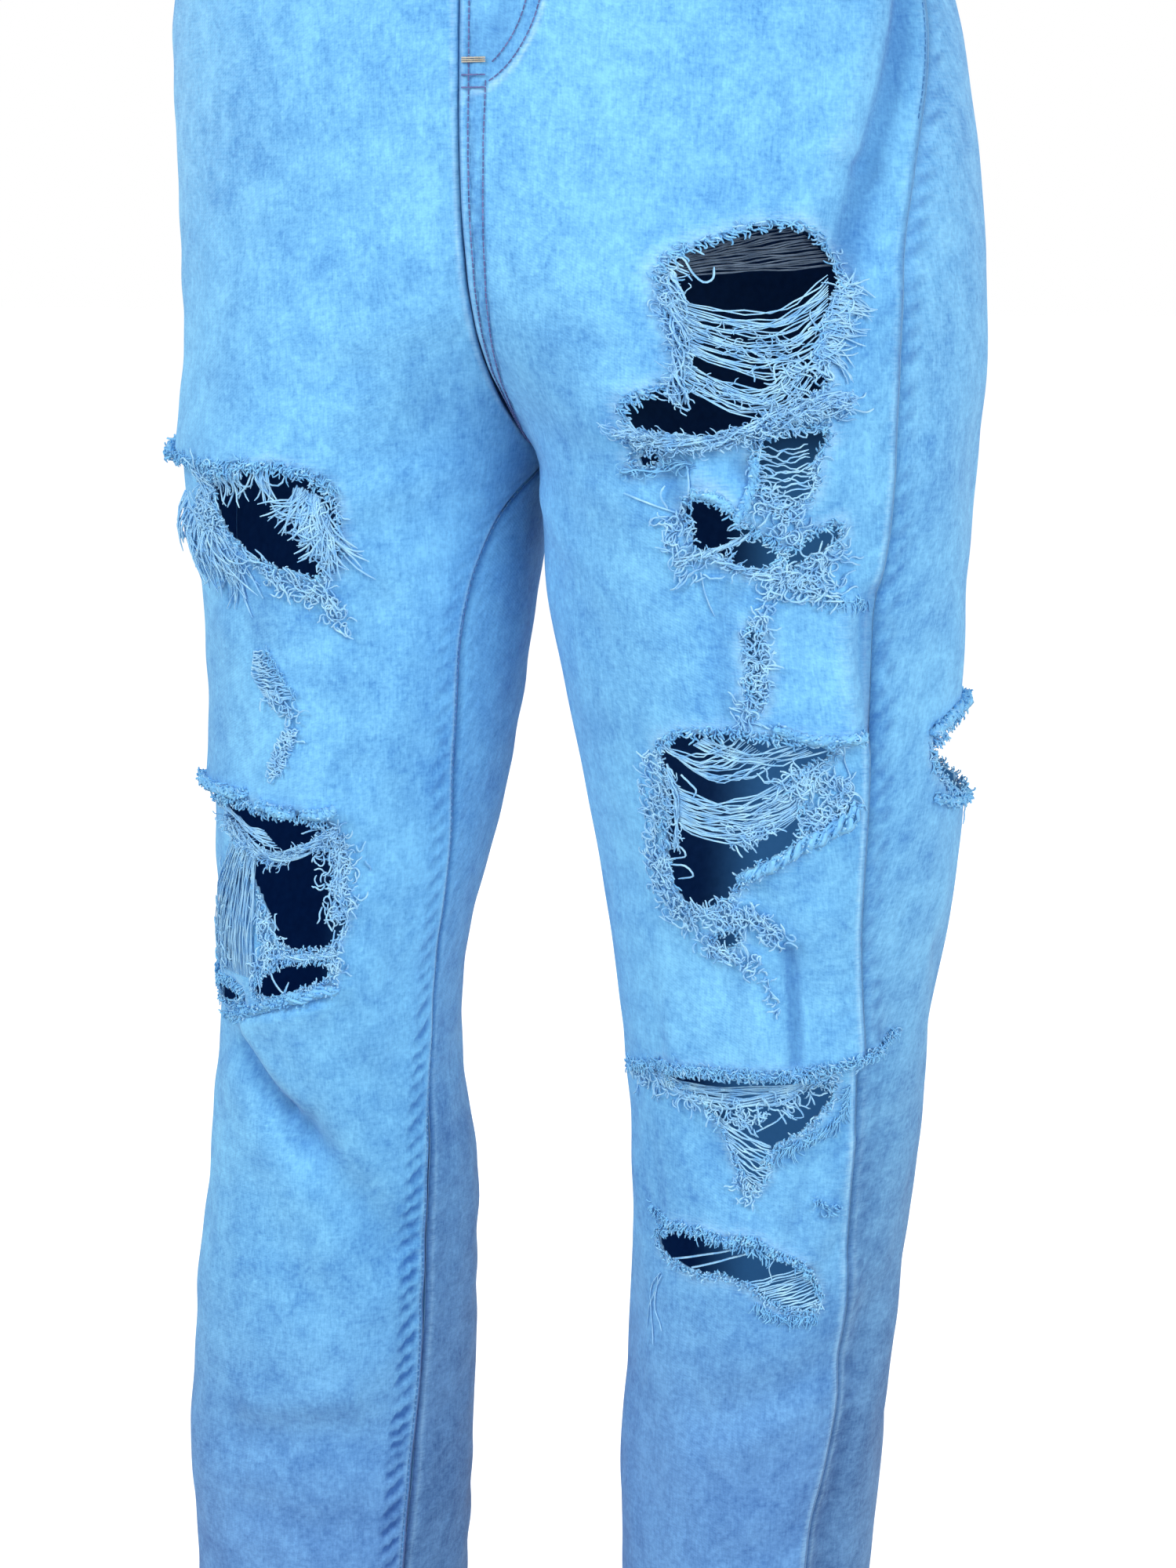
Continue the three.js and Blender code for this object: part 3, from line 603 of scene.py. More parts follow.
def ragged(outline, seed):
    """A torn outline: rounded, cut in short steps, each moved a little. In millimetres of cloth."""
    draw = random.Random(seed)
    spots = np.array([(math.radians(a) * MEAN_RADIUS, z) for a, z in outline])
    spots = 0.75 * np.repeat(spots, 2, axis=0) + 0.25 * np.stack(
        [np.roll(spots, 1, axis=0), np.roll(spots, -1, axis=0)], 1
    ).reshape(-1, 2)
    made = []
    for start, end in zip(spots, np.roll(spots, -1, axis=0)):
        count = max(1, round(math.dist(start, end) / TOOTH))
        for k in range(count):
            spot = start + (end - start) * k / count
            made.append(spot + [draw.uniform(-0.5, 0.5), draw.uniform(-0.9, 0.9)])
    return np.array(made)


def to_outline(outline, along, z):
    """Moves what lies inside a closed outline out to its edge; also its distance, below zero inside."""
    ends = np.roll(outline, -1, axis=0)
    best = np.full(along.shape, 1e9)
    near_x, near_z = along.copy(), z.copy()
    inside = np.zeros(along.shape, bool)
    for (x0, z0), (x1, z1) in zip(outline, ends):
        dx, dz = x1 - x0, z1 - z0
        share = unit(((along - x0) * dx + (z - z0) * dz) / max(dx * dx + dz * dz, 1e-9))
        px, pz = x0 + share * dx, z0 + share * dz
        away = np.hypot(along - px, z - pz)
        closer = away < best
        best = np.where(closer, away, best)
        near_x = np.where(closer, px, near_x)
        near_z = np.where(closer, pz, near_z)
        crosses = (z0 > z) != (z1 > z)
        if z1 != z0:
            inside ^= crosses & (along < x0 + (z - z0) * dx / dz)
    return np.where(inside, near_x, along), np.where(inside, near_z, z), np.where(inside, -best, best)


def faces_outside(gap):
    """The faces of a grid that lie outside, from their corners' distances."""
    return gap[1:, 1:] + gap[:-1, 1:] + gap[1:, :-1] + gap[:-1, :-1] > 0


def lattice(rows, columns, across=(0, 1), up=(0, 1)):
    """For each place of a grid, a value that changes across it and one that changes up it."""
    return np.meshgrid(np.linspace(*across, columns), np.linspace(*up, rows))


def deselect_all():
    if bpy.context.object and bpy.context.object.mode != "OBJECT":
        bpy.ops.object.mode_set(mode="OBJECT")
    bpy.ops.object.select_all(action="DESELECT")


def apply_modifiers(piece):
    deselect_all()
    bpy.context.view_layer.objects.active = piece
    piece.select_set(True)
    for modifier in list(piece.modifiers):
        bpy.ops.object.modifier_apply(modifier=modifier.name)


def shape_grid(name, places, cloth, values, keep=None, turned=False):
    """A grid laid on places (rows from the bottom up, columns to the right as seen from outside)."""
    if turned:
        places, cloth = places[:, ::-1], cloth[:, ::-1]
        values = {key: value[:, ::-1] for key, value in values.items()}
        keep = None if keep is None else keep[:, ::-1]
    rows, columns = places.shape[:2]
    deselect_all()
    bpy.ops.mesh.primitive_grid_add(x_subdivisions=columns - 1, y_subdivisions=rows - 1, size=1)
    piece = bpy.context.object
    piece.name = name
    mesh = piece.data
    mesh.name = name
    mesh.vertices.foreach_set("co", np.ascontiguousarray(places, np.float32).ravel())
    for key, value in values.items():
        attribute = mesh.attributes.new(key, "FLOAT", "POINT")
        attribute.data.foreach_set("value", np.ascontiguousarray(value, np.float32).ravel())
    mesh.uv_layers[0].name = "cloth"
    corners = np.zeros(len(mesh.loops), np.int32)
    mesh.loops.foreach_get("vertex_index", corners)
    flat_cloth = cloth.reshape(-1, 2)[corners] * MM
    mesh.uv_layers[0].data.foreach_set("uv", flat_cloth.astype(np.float32).ravel())
    if keep is not None:
        shaping = bmesh.new()
        shaping.from_mesh(mesh)
        shaping.faces.ensure_lookup_table()
        wanted = keep.ravel()
        gone = [face for face in shaping.faces if not wanted[face.index]]
        bmesh.ops.delete(shaping, geom=gone, context="FACES")
        shaping.to_mesh(mesh)
        shaping.free()
    mesh.update()
    bpy.ops.object.shade_smooth()
    return piece


def thicken(piece, finishes, thickness=CLOTH, lift=-1.0):
    for finish in finishes:
        piece.data.materials.append(finish)
    wall = piece.modifiers.new("wall", "SOLIDIFY")
    wall.thickness = thickness * MM
    wall.offset = lift
    wall.use_even_offset = False
    wall.material_offset = min(1, len(finishes) - 1)
    wall.material_offset_rim = min(2, len(finishes) - 1)
    apply_modifiers(piece)
    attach(piece, "root")
    return piece


def low_share(z, start=440, length=400):
    """The share of the darker colour lower down: partly the cloth's tone, partly painted shade."""
    return smooth((-z - start) / length)


def seam_marks(away, z, seed, strength, reach=7.5, line=0.55, line_width=0.9):
    """Pale wear along a seam's edge, and painted shade: a dark crease line and puckers across it."""
    draw = random.Random(seed)
    slope, pitch = draw.uniform(0.5, 0.9), draw.uniform(9, 12)
    wave = np.sin(2 * math.pi * (z + slope * away) / pitch + 1.8 * ripple(away * 0, z, 60, seed))
    puckers = unit(0.15 + wave * 1.1 + 0.35 * ripple(away, z, 17, seed + 1))
    near = bell(away - reach, 0.55 * reach, 4)
    crease = line * bell(away, line_width)
    return 0.75 * bell(away - 2.6, 1.5), np.maximum(crease, strength * puckers * near)


FLY_WIDTH = 36
FLY_STRAIGHT = -125
FLY_END = -178
FLY_CURVE = FLY_STRAIGHT - FLY_END
FLY_LAP = 11.5
YOKE_SIDE = -52
YOKE_MIDDLE = -88
SCOOP_WIDTH = 95
SCOOP_DEPTH = 75
SCOOP_RADIUS = 118
# Where the painted highlight lies over the hips.
HIP_LEVEL = -170
HIP_SPREAD = 130
HIP_REACH = math.radians(75)
# Where the front panels turn to their darker colour, which is partly painted shade.
FRONT_LOW_START = {LEFT: 620, RIGHT: 690}
FRONT_LOW_LENGTH = 210
CUT_APART = (400, 900)
# Strength of the dark pucker marks at each panel's outseam and inner seam: partly roping, partly painted
# shade.
PUCKERS = {
    (LEFT, FRONT): (0.2, 0.25), (RIGHT, FRONT): (0.3, 0.15), (LEFT, BACK): (0.7, 0.3),
    (RIGHT, BACK): (0.3, 0.3),
}
# At each inseam: the puckers' reach, and strength and width of the dark crease line, which is painted shade.
INSEAM_MARKS = {LEFT: (7.5, 0.55, 0.9), RIGHT: (9.5, 1.0, 1.5)}


def outseam_top(side):
    return math.radians(curve(LEG[side]["outseam"], WAIST_BOTTOM))


def scoop_outline(side, margin):
    """The edge of a front pocket opening, or of the facing behind it, in millimetres of cloth."""
    corner = outseam_top(side)
    turns = np.linspace(0, math.pi / 2, 25)
    angle = corner + (SCOOP_WIDTH + margin) * np.cos(turns) / SCOOP_RADIUS
    z = WAIST_BOTTOM - (SCOOP_DEPTH + margin) * np.sin(turns)
    outside = corner - 0.12
    spots = [(angle[0], WAIST_BOTTOM + 8), *zip(angle, z), (outside, z[-1]), (outside, WAIST_BOTTOM + 8)]
    return np.array([(a * MEAN_RADIUS, height) for a, height in spots])


def lap_height(side, facing, seam_in, z):
    """The wearer's left front laps over the right one at the rise, in a puckered strip sewn twice."""
    if side * facing < 0:
        return -0.3 * bell(seam_in, 5) * (facing > 0)
    strip = bell(seam_in, 12.5, 8) * unit((z - CROTCH) / 30)
    second = 8 + 3.5 * unit((z - CROTCH) / 160)
    rows = bell(seam_in - 4.2, 1.0) + bell(seam_in - second, 1.0)
    puckers = ripple(seam_in * 2.5, z, 11, 77) * bell(seam_in - 6.8, 2.8)
    return strip * (0.7 - 0.6 * rows + 0.6 * puckers)


def leg_panel(name, side, facing, columns, rows, finish):
    across, level = lattice(rows, columns, up=(HEM, WAIST_BOTTOM))
    top = WAIST_BOTTOM if facing == FRONT else YOKE_SIDE + (YOKE_MIDDLE - YOKE_SIDE) * across
    share = unit((level + 150) / 130)
    z = level + (top - SEAM_GAP / 2 - WAIST_BOTTOM) * share
    angle = panel_angle(side, facing, across, z)
    along = angle * MEAN_RADIUS
    uncut, rows_places = along, on_form(side, angle, z, 0)
    steps = np.linalg.norm(np.diff(rows_places, axis=1), axis=2) / MM
    width = np.concatenate([np.zeros((rows, 1)), np.cumsum(steps, axis=1)], axis=1)
    spots_x = side * rows_places[:, :, 0] / MM
    grain, _, _, _, _ = oval(side, np.minimum(z, CROTCH - 1))
    for row in range(rows):
        seen = np.flatnonzero(facing * angle[row] > 0.35)[::-1]
        width[row] -= np.interp(grain[row, seen[0]], spots_x[row, seen], width[row, seen])
    tears = [ragged(tear, 40 + k) for k, tear in enumerate(TEARS[side, facing])]
    away = np.full(z.shape, 1e9)
    for tear in tears:
        along, z, gap = to_outline(tear, along, z)
        away = np.minimum(away, gap)
    keep = faces_outside(away)
    if facing == FRONT:
        along, z, gap = to_outline(scoop_outline(side, 0), along, z)
        keep &= faces_outside(gap)
    angle = along / MEAN_RADIUS
    pace = round_pace(side, angle, z)
    seam_out = np.abs(angle - np.radians(curve(LEG[side]["outseam"], z))) * pace
    inner_edge = panel_angle(side, facing, np.ones(z.shape), z)
    seam_in = np.abs(angle - inner_edge) * pace
    at_outseam, at_inseam = PUCKERS[side, facing]
    if (side, facing) == (RIGHT, FRONT):
        at_inseam = np.where(z > CROTCH, at_inseam, np.clip((-z - 250) / 400, 0.35, 1.4))
    # Pale wear along the seams, painted shade in their creases, and pucker marks partly painted shade.
    worn_out, shade_out = seam_marks(seam_out, z, 5 + side, at_outseam)
    worn_in, shade_in = seam_marks(seam_in, z, 8 + side, at_inseam, *INSEAM_MARKS[side])
    wear_and_highlight = np.maximum(worn_out, worn_in) * 0.9 + 0.75 * bell(np.maximum(away, 0), 6)
    # Painted shade in the folds' troughs, and a painted highlight on their ridges, which also wear paler.
    folds = fold_height(side, angle, z, 1.5)
    shade = np.maximum(np.maximum(shade_out, shade_in), np.clip(-folds / 6 - 0.1, 0, 0.65))
    wear_and_highlight = wear_and_highlight + np.clip(folds / 8 - 0.05, 0, 0.35)
    # A painted highlight over the outer side of the right hip and high on the back of the left leg.
    painted_hip_highlight = unit(HIP_REACH - np.abs(angle)) if side == RIGHT else 0.6 * (facing == BACK)
    wear_and_highlight = wear_and_highlight + 0.55 * painted_hip_highlight * bell(z - HIP_LEVEL, HIP_SPREAD)
    # Painted shade at the rise: a shadow on the right front under the lap, darker puckers in the left's
    # strip.
    if facing == FRONT:
        lap = bell(seam_in - 7, 3.4, 4) if side == LEFT else 1.3 * bell(seam_in, 3.5)
        lap = lap * unit((z - CROTCH) / 30) * (0.32 + 0.3 * ripple(seam_in * 2, z, 9, 61))
        shade = np.maximum(shade, unit(lap))
    if (side, facing) == (LEFT, FRONT):
        wear_and_highlight = np.where((z > CROTCH) & (seam_in < 8), 0.1, wear_and_highlight)
        wear_and_highlight = np.maximum(wear_and_highlight, 0.6 * bell(seam_in - 1.6, 1.0) * (z > CROTCH))
        # Painted shade in the fly, in the band inside its curved stitching, and a shadow line above the
        # tacks.
        x, _, _ = np.moveaxis(on_form(side, angle, z, 0) / MM, -1, 0)
        below = np.maximum(FLY_STRAIGHT - z, 0) / FLY_CURVE
        ring = (1 - np.hypot(below, x / FLY_WIDTH)) * FLY_WIDTH
        fly = bell(ring - 2.8, 3, 4) * (0.3 + 0.2 * ripple(x, z, 8, 31))
        fly = np.maximum(fly, 0.28 * unit(ring / 4) * (1 + 0.6 * ripple(x, z * 0.3, 16, 33)))
        shade = np.maximum(shade, unit(fly) * (z > FLY_END - 4))
        shade = np.maximum(shade, 0.5 * bell(z + 161, 2.5) * unit((18 - x) / 5) * (x > 3))
        wear_and_highlight = np.maximum(wear_and_highlight, 0.8 * bell(ring + 1.6, 1.3) * (z > FLY_END - 6))
    out = relief(side, angle, z)
    out = out + lap_height(side, facing, seam_in, z)
    out = out + 0.5 * bell(seam_out, 8, 4) - 1.1 * np.maximum(shade_out, shade_in)
    places = on_form(side, angle, z, out)
    width = width + facing * (along - uncut) * pace / MEAN_RADIUS
    cloth = np.stack([width + CUT_APART[0] * side + CUT_APART[1] * facing, z], -1)
    low = low_share(z) if facing == BACK else low_share(z, FRONT_LOW_START[side], FRONT_LOW_LENGTH)
    values = {"wear_and_highlight": unit(wear_and_highlight), "shade": shade, "low": low}
    piece = shape_grid(name, places, cloth, values, keep, turned=side * facing > 0)
    thicken(piece, [finish, inside_painted_dark, torn_edge])
    return piece


front_left = leg_panel("front_left_cloth", LEFT, FRONT, 90, 310, front_denim)
front_right = leg_panel("front_right_cloth", RIGHT, FRONT, 90, 310, front_denim)
back_left = leg_panel("back_left_cloth", LEFT, BACK, 72, 200, back_denim_painted_darker)
back_right = leg_panel("back_right_cloth", RIGHT, BACK, 72, 200, back_denim_painted_darker)
for panel, cad_name in (
    (front_left, "front_left"), (front_right, "front_right"),
    (back_left, "back_left"), (back_right, "back_right"),
):
    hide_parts(cad_name)

# Torn yarn: where the blue warp has worn through, the pale weft hangs across the tears in sagging sets,
# ropes and tangles, and every torn edge carries short blue and pale tufts. Each yarn is a thin tube laid
# out in millimetres of cloth: along, height and distance outside the cloth.
yarns = {}
draw = random.Random(21)
TANGLE_LENGTH = 0.75
TANGLE_COUNT = 0.8


def to_cloth(line):
    return np.array([(math.radians(a) * MEAN_RADIUS, z) for a, z in line], float)


def run_along(spots):
    """The length of a line up to each of its spots."""
    return np.concatenate([[0], np.cumsum(np.linalg.norm(np.diff(spots, axis=0), axis=1))])


def on_line(spots, share):
    lengths = run_along(spots)
    at = share * lengths[-1]
    return np.stack([np.interp(at, lengths, spots[:, 0]), np.interp(at, lengths, spots[:, 1])], -1)


def near_line(spots, share, along, up):
    return on_line(spots, share) + [draw.gauss(0, along), draw.gauss(0, up)]


def lay(side, colour, path, thick):
    path = np.array(path, float)
    zone = "thigh" if path[0, 1] > -425 else "knee"
    yarns.setdefault((side, zone, colour), []).append((path, thick))


def strand(side, line, colour="pale", thick=0.5, out=0.9):
    spots = to_cloth(line)
    shares = np.linspace(0, 1, 3 * len(line))
    path = on_line(spots, shares)
    path[1:-1] = (path[:-2] + 2 * path[1:-1] + path[2:]) / 4
    lay(side, colour, [(a, z, out + draw.uniform(-0.3, 0.3)) for a, z in path], thick)


def bridge(side, first, second, count, sag, stray=0.8, out=0.5, thick=0.46, colour="pale"):
    """Weft left hanging between the two sides of a tear."""
    first, second = to_cloth(first), to_cloth(second)
    t = np.linspace(0, 1, 12)
    for k in range(count):
        share = min(max((k + 0.5 + draw.uniform(-0.35, 0.35)) / count, 0), 1)
        a, b = on_line(first, share), on_line(second, share)
        drop = sag * draw.uniform(0.7, 1.25)
        ends = np.sqrt(unit(np.sin(math.pi * t)))
        waves = [draw.uniform(0, 6.3) for _ in range(4)]
        along = a[0] + (b[0] - a[0]) * t + 0.5 * stray * ends * np.sin(9 * t + waves[0])
        z = a[1] + (b[1] - a[1]) * t - 4 * drop * t * (1 - t)
        z = z + stray * ends * (0.6 * np.sin(8 * t + waves[1]) + 0.5 * np.sin(17 * t + waves[2]))
        off = out * (0.4 + ends) + 0.6 * stray * ends * np.sin(7 * t + waves[3])
        lay(side, colour, np.stack([along, z, off], -1), thick * draw.uniform(0.8, 1.15))


def wander(side, colour, start, heading, length, curl, lift, thick, steps=6, droop=0.0):
    """One loose end, rooted in the cloth at start. curl is its bend in radians for each millimetre."""
    bend = draw.uniform(-1, 1) * curl
    spot = np.array([start[0], start[1], 0.0])
    path = [spot.copy()]
    pace = length / steps
    height = lift * draw.uniform(0.4, 1.3)
    for k in range(steps):
        bend = 0.75 * bend + draw.gauss(0, 0.5) * curl
        heading += bend * pace
        spot[0] += pace * math.cos(heading)
        spot[1] += pace * (math.sin(heading) - droop)
        spot[2] = height * math.sin(min(1, 1.6 * (k + 1) / steps) * math.pi / 2) + draw.uniform(-0.2, 0.2)
        path.append(spot.copy())
    lay(side, colour, path, thick)


def tangle(side, line, width, count, length, curl=0.55, colour="pale", thick=0.48, lift=2.2):
    """Short loose ends of every heading, gathered round a line."""
    spots = to_cloth(line)
    for _ in range(round(TANGLE_COUNT * count)):
        root = near_line(spots, draw.random(), width / 3.2, width / 4)
        size = TANGLE_LENGTH * length * draw.uniform(0.5, 1.4)
        wander(side, colour, root, draw.uniform(0, 6.3), size, curl, lift, thick, steps=8)


def frays(side, line, count, length, aim, spread=0.5, curl=0.35, colour="blue", thick=0.36, lift=1.4):
    """Loose ends rooted along a line, heading about one way (degrees: 0 round the leg, 90 up)."""
    spots = to_cloth(line)
    for k in range(count):
        root = near_line(spots, (k + draw.random()) / count, 0.7, 0.7)
        heading = math.radians(aim) + draw.gauss(0, spread)
        wander(side, colour, root, heading, length * draw.uniform(0.5, 1.3), curl, lift, thick, droop=0.1)


def rope(side, line, radius, strands, colour="pale", thick=0.55, turns=1.5, out=None, fluff=0.9):
    """Yarns loosely twisted together along a line, with loops of fluff standing from them."""
    spots = to_cloth(line)
    count = 8 * len(line)
    t = np.linspace(0, 1, count)
    middle = np.stack([on_line(spots, share) for share in t])
    for _ in range(4):
        middle[1:-1] = (middle[:-2] + 2 * middle[1:-1] + middle[2:]) / 4
    way = np.gradient(middle, axis=0)
    way /= np.linalg.norm(way, axis=1)[:, None]
    out = radius if out is None else out
    for k in range(strands):
        ring = radius * (0.35 + 0.65 * draw.random())
        turn = 2 * math.pi * (k / strands + turns * t) + draw.uniform(-0.5, 0.5)
        full = ring * np.clip(np.sin(math.pi * t) * 4, 0.35, 1) * (1 + 0.15 * np.sin(11 * t + k))
        side_step = full * np.cos(turn)
        path = np.stack([
            middle[:, 0] - way[:, 1] * side_step, middle[:, 1] + way[:, 0] * side_step,
            out + full * np.sin(turn),
        ], -1)
        path = path + 0.3 * np.cumsum([[draw.gauss(0, 0.45) for _ in range(3)] for _ in t], axis=0)
        lay(side, colour, path, thick * draw.uniform(0.85, 1.1))
    for _ in range(round(fluff * radius * run_along(spots)[-1])):
        root = near_line(spots, draw.random(), radius * 0.5, radius * 0.5)
        wander(side, colour, root, draw.uniform(0, 6.3), draw.uniform(2.5, 7), 0.7, radius * 2.4, 0.32, 8)


def rolled_edge(side, line, radius):
    """A torn edge of the cloth that has rolled up on itself, with a nap of short ends."""
    rope(side, line, radius * 0.75, 10, "blue", thick=1.5, turns=5.0, out=radius * 0.9, fluff=0)
    spots = to_cloth(line)
    for _ in range(int(3 * run_along(spots)[-1])):
        root = near_line(spots, draw.random(), 0.4, radius * 0.5)
        colour = "blue" if draw.random() < 0.8 else "pale"
        heading = draw.uniform(0, 6.3)
        wander(side, colour, root, heading, draw.uniform(1.5, 3), 0.9, radius * 1.9, 0.55, steps=4)


def tufts(side, tear):
    """The short ends that stand all round a tear: blue above and below, pale weft at its two sides."""
    ends = np.roll(tear, -1, axis=0)
    area = np.sum(tear[:, 0] * ends[:, 1] - ends[:, 0] * tear[:, 1])
    top = min(1.0, 0.3 + abs(area) / 900)
    for start, end in zip(tear, ends):
        step = end - start
        length = np.linalg.norm(step)
        normal = np.array([step[1], -step[0]]) / max(length, 1e-6) * (1 if area > 0 else -1)
        density = 2.7 if normal[1] > 0.4 else 1.9
        for _ in range(max(1, round(length * density))):
            root = start + step * draw.random() + normal * draw.uniform(-0.6, 3.2)
            inward = math.atan2(-normal[1], -normal[0])
            if normal[1] > 0.4:
                colour = "blue" if draw.random() < 0.8 else "pale"
                heading = inward + draw.gauss(0, 1.1)
                size = top * draw.uniform(1.5, 4)
                wander(side, colour, root, heading, size, 0.85, 2.2, 0.46, steps=5, droop=0.1)
            elif normal[1] < -0.4:
                colour = "blue" if draw.random() < 0.5 else "pale"
                heading = inward + draw.gauss(0, 1.4)
                size = top * draw.uniform(1.2, 3.5)
                wander(side, colour, root, heading, size, 0.85, 1.6, 0.44, steps=4)
            else:
                colour = "pale" if draw.random() < 0.75 else "blue"
                heading = inward + draw.gauss(0, 0.8)
                size = top * draw.uniform(2, 7)
                wander(side, colour, root, heading, size, 0.55, 1.4, 0.44, steps=6, droop=0.2)


for (side, facing), tears in TEARS.items():
    for k, tear in enumerate(tears):
        tufts(side, ragged(tear, 40 + k))

# The wearer's left thigh: taut yarns at the top of the hole, painted dark as painted shade, two sagging
# sets under it, a white rope across, and a ladder and tangles round the folded flap below.
bridge(LEFT, [(69, -243), (75, -254)], [(51, -232), (44, -249)], 22, -0.4, 0.7, -1.2, 0.4, "grey")
strand(LEFT, [(74, -245), (70, -245), (70, -252), (69, -256), (67, -254), (66, -249)], thick=0.6)
bridge(LEFT, [(75, -262), (78, -284)], [(47, -252), (52, -282)], 30, 10, 1.5, 0.8, 0.4)
bridge(LEFT, [(80, -286), (84, -297)], [(59, -284), (56, -295)], 20, 12, 1.5, 0.8, 0.4)
tangle(LEFT, [(75, -272), (66, -283), (58, -280)], 12, 60, 8, 0.7, thick=0.3)
tangle(LEFT, [(79, -294), (70, -303), (60, -299)], 7, 50, 7, 0.7, thick=0.3)
rope(LEFT, [(73, -251), (76, -267), (80, -285), (84, -295), (86, -304)], 2.3, 10, turns=2)
frays(LEFT, [(46, -257), (51, -272), (54, -286)], 120, 11, 185, 0.5, 0.2, "pale", 0.42, 2.0)
tangle(LEFT, [(65, -291), (57, -290), (52, -288)], 8, 50, 8)
strand(LEFT, [(85, -299), (86, -306), (84, -307), (84, -302)])
strand(LEFT, [(94, -300), (95, -306)], thick=0.7)
rope(
    LEFT,
    [(105, -317), (96, -319), (88, -320), (81, -320), (74, -316), (66, -310), (59, -306), (50, -302)],
    2.9, 16,
)
tangle(
    LEFT, [(104, -318), (88, -321), (74, -317), (60, -307), (50, -304)], 6, 420, 5, 0.9, thick=0.3, lift=5.5
)
tangle(LEFT, [(68, -312), (60, -308), (52, -305)], 12, 80, 10)
rope(LEFT, [(108, -333), (101, -333), (95, -330), (88, -328)], 1.2, 5, "blue")
bridge(LEFT, [(74, -322), (74, -343)], [(61, -320), (61, -345)], 14, 1.0, 1.5)
tangle(LEFT, [(72, -344), (66, -350), (65, -360)], 8, 90, 10)
rolled_edge(LEFT, [(74, -326), (75, -338), (78, -352)], 1.5)
rolled_edge(LEFT, [(89, -341), (84, -341), (80, -346)], 1.2)
rope(LEFT, [(74, -357), (80, -363), (86, -367), (91, -368)], 1.0, 5)
rope(LEFT, [(83, -367), (75, -373), (65, -376)], 1.3, 6)
tangle(LEFT, [(95, -350), (92, -366), (86, -375)], 6, 70, 11)
tangle(LEFT, [(66, -380), (60, -376), (52, -366)], 8, 120, 11)
tangle(LEFT, [(62, -381), (50, -384)], 10, 70, 11)
frays(LEFT, [(58, -381), (48, -386), (39, -388)], 60, 5, -90)
strand(LEFT, [(85, -374), (83, -383), (80, -393)], thick=0.4)
strand(LEFT, [(107, -342), (100, -346), (92, -350)], thick=0.5)
strand(LEFT, [(90, -328), (90, -343)], thick=0.5)
tangle(LEFT, [(68, -387), (69, -400), (70, -412), (72, -425), (77, -440)], 7, 150, 8)
rolled_edge(LEFT, [(69, -441), (58, -447), (45, -446)], 2.0)

# The wearer's left knee: sagging sets over a deep hole, a worn column at its inner side, a rolled flap
# under it, and tangles at both corners.
bridge(LEFT, [(103, -450), (96, -459)], [(79, -443), (70, -457)], 20, 8, 1.4, 0.8, 0.4)
bridge(LEFT, [(88, -446), (92, -450)], [(64, -446), (60, -452)], 9, 6, 1.4, 0.8, 0.4)
bridge(LEFT, [(101, -470), (103, -489)], [(68, -463), (64, -478)], 34, 8, 1.6, 0.8, 0.4)
tangle(LEFT, [(88, -492), (80, -490), (74, -484)], 6, 50, 9)
tangle(LEFT, [(106, -458), (110, -476), (115, -500), (116, -516), (112, -528)], 12, 230, 9)
rope(LEFT, [(102, -460), (101, -472), (103, -485), (106, -499)], 1.0, 5)
strand(LEFT, [(109, -496), (104, -498), (103, -502), (109, -504)])
strand(LEFT, [(110, -507), (104, -506), (102, -511), (108, -513)])
strand(LEFT, [(98, -464), (94, -470), (96, -474)])
tangle(LEFT, [(114, -530), (104, -532), (94, -527), (85, -530)], 12, 170, 10)
tangle(LEFT, [(106, -543), (98, -548), (88, -552)], 8, 90, 9)
tangle(LEFT, [(85, -528), (80, -540)], 9, 60, 10)
rolled_edge(LEFT, [(88, -510), (80, -505), (74, -500), (67, -494), (60, -489), (53, -484), (50, -477)], 2.5)
tangle(LEFT, [(67, -465), (58, -466), (53, -473)], 13, 150, 13)
tangle(LEFT, [(66, -487), (60, -480), (54, -478)], 10, 90, 11)
strand(LEFT, [(52, -448), (51, -458), (50, -464), (52, -472)], thick=0.45)
strand(LEFT, [(70, -456), (60, -453), (52, -449)], thick=0.5)
tangle(LEFT, [(86, -556), (84, -578)], 3, 22, 6)

# The wearer's left shin: the cloth above hangs over the tear with a blue fringe, a white band of weft
# lies in it, and the lower tear has two taut yarns and a ladder.
overhang = [
    (158, -616), (146, -611), (128, -606), (111, -603), (94, -602), (82, -602), (72, -600), (58, -596),
    (48, -591), (41, -587),
]
frays(LEFT, overhang, 620, 4.5, -90, 1.2, 0.8, lift=2.6)
frays(LEFT, overhang, 160, 4.5, -90, 1.3, 0.8, "pale", lift=2.6)
tangle(
    LEFT, [(154, -617), (130, -619), (113, -624), (100, -625), (86, -620), (74, -611), (66, -606)],
    8, 190, 10,
)
bridge(LEFT, [(142, -611), (128, -620)], [(66, -602), (75, -611)], 22, 7, 1.6)
bridge(LEFT, [(112, -626), (106, -645), (101, -664)], [(91, -640), (90, -652), (96, -668)], 20, 2, 1.0)
tangle(LEFT, [(104, -627), (96, -633)], 7, 40, 10, 0.7)
strand(LEFT, [(86, -619), (80, -621), (78, -626), (82, -626)])
strand(LEFT, [(96, -634), (88, -628), (84, -622)])
frays(LEFT, [(93, -646), (80, -638), (68, -630), (62, -622), (60, -611)], 150, 7, -60, 0.4, 0.15)
tangle(LEFT, [(104, -660), (99, -670)], 6, 40, 8)
tangle(LEFT, [(76, -668), (64, -677)], 5, 40, 5, colour="blue")
strand(LEFT, [(137, -708), (118, -700), (100, -691)], thick=0.6, out=-0.5)
strand(LEFT, [(126, -709), (112, -702), (98, -694)], thick=0.6, out=-0.5)
bridge(LEFT, [(101, -711), (92, -719), (83, -728)], [(79, -702), (74, -712), (70, -725)], 17, 0.5, 0.5)
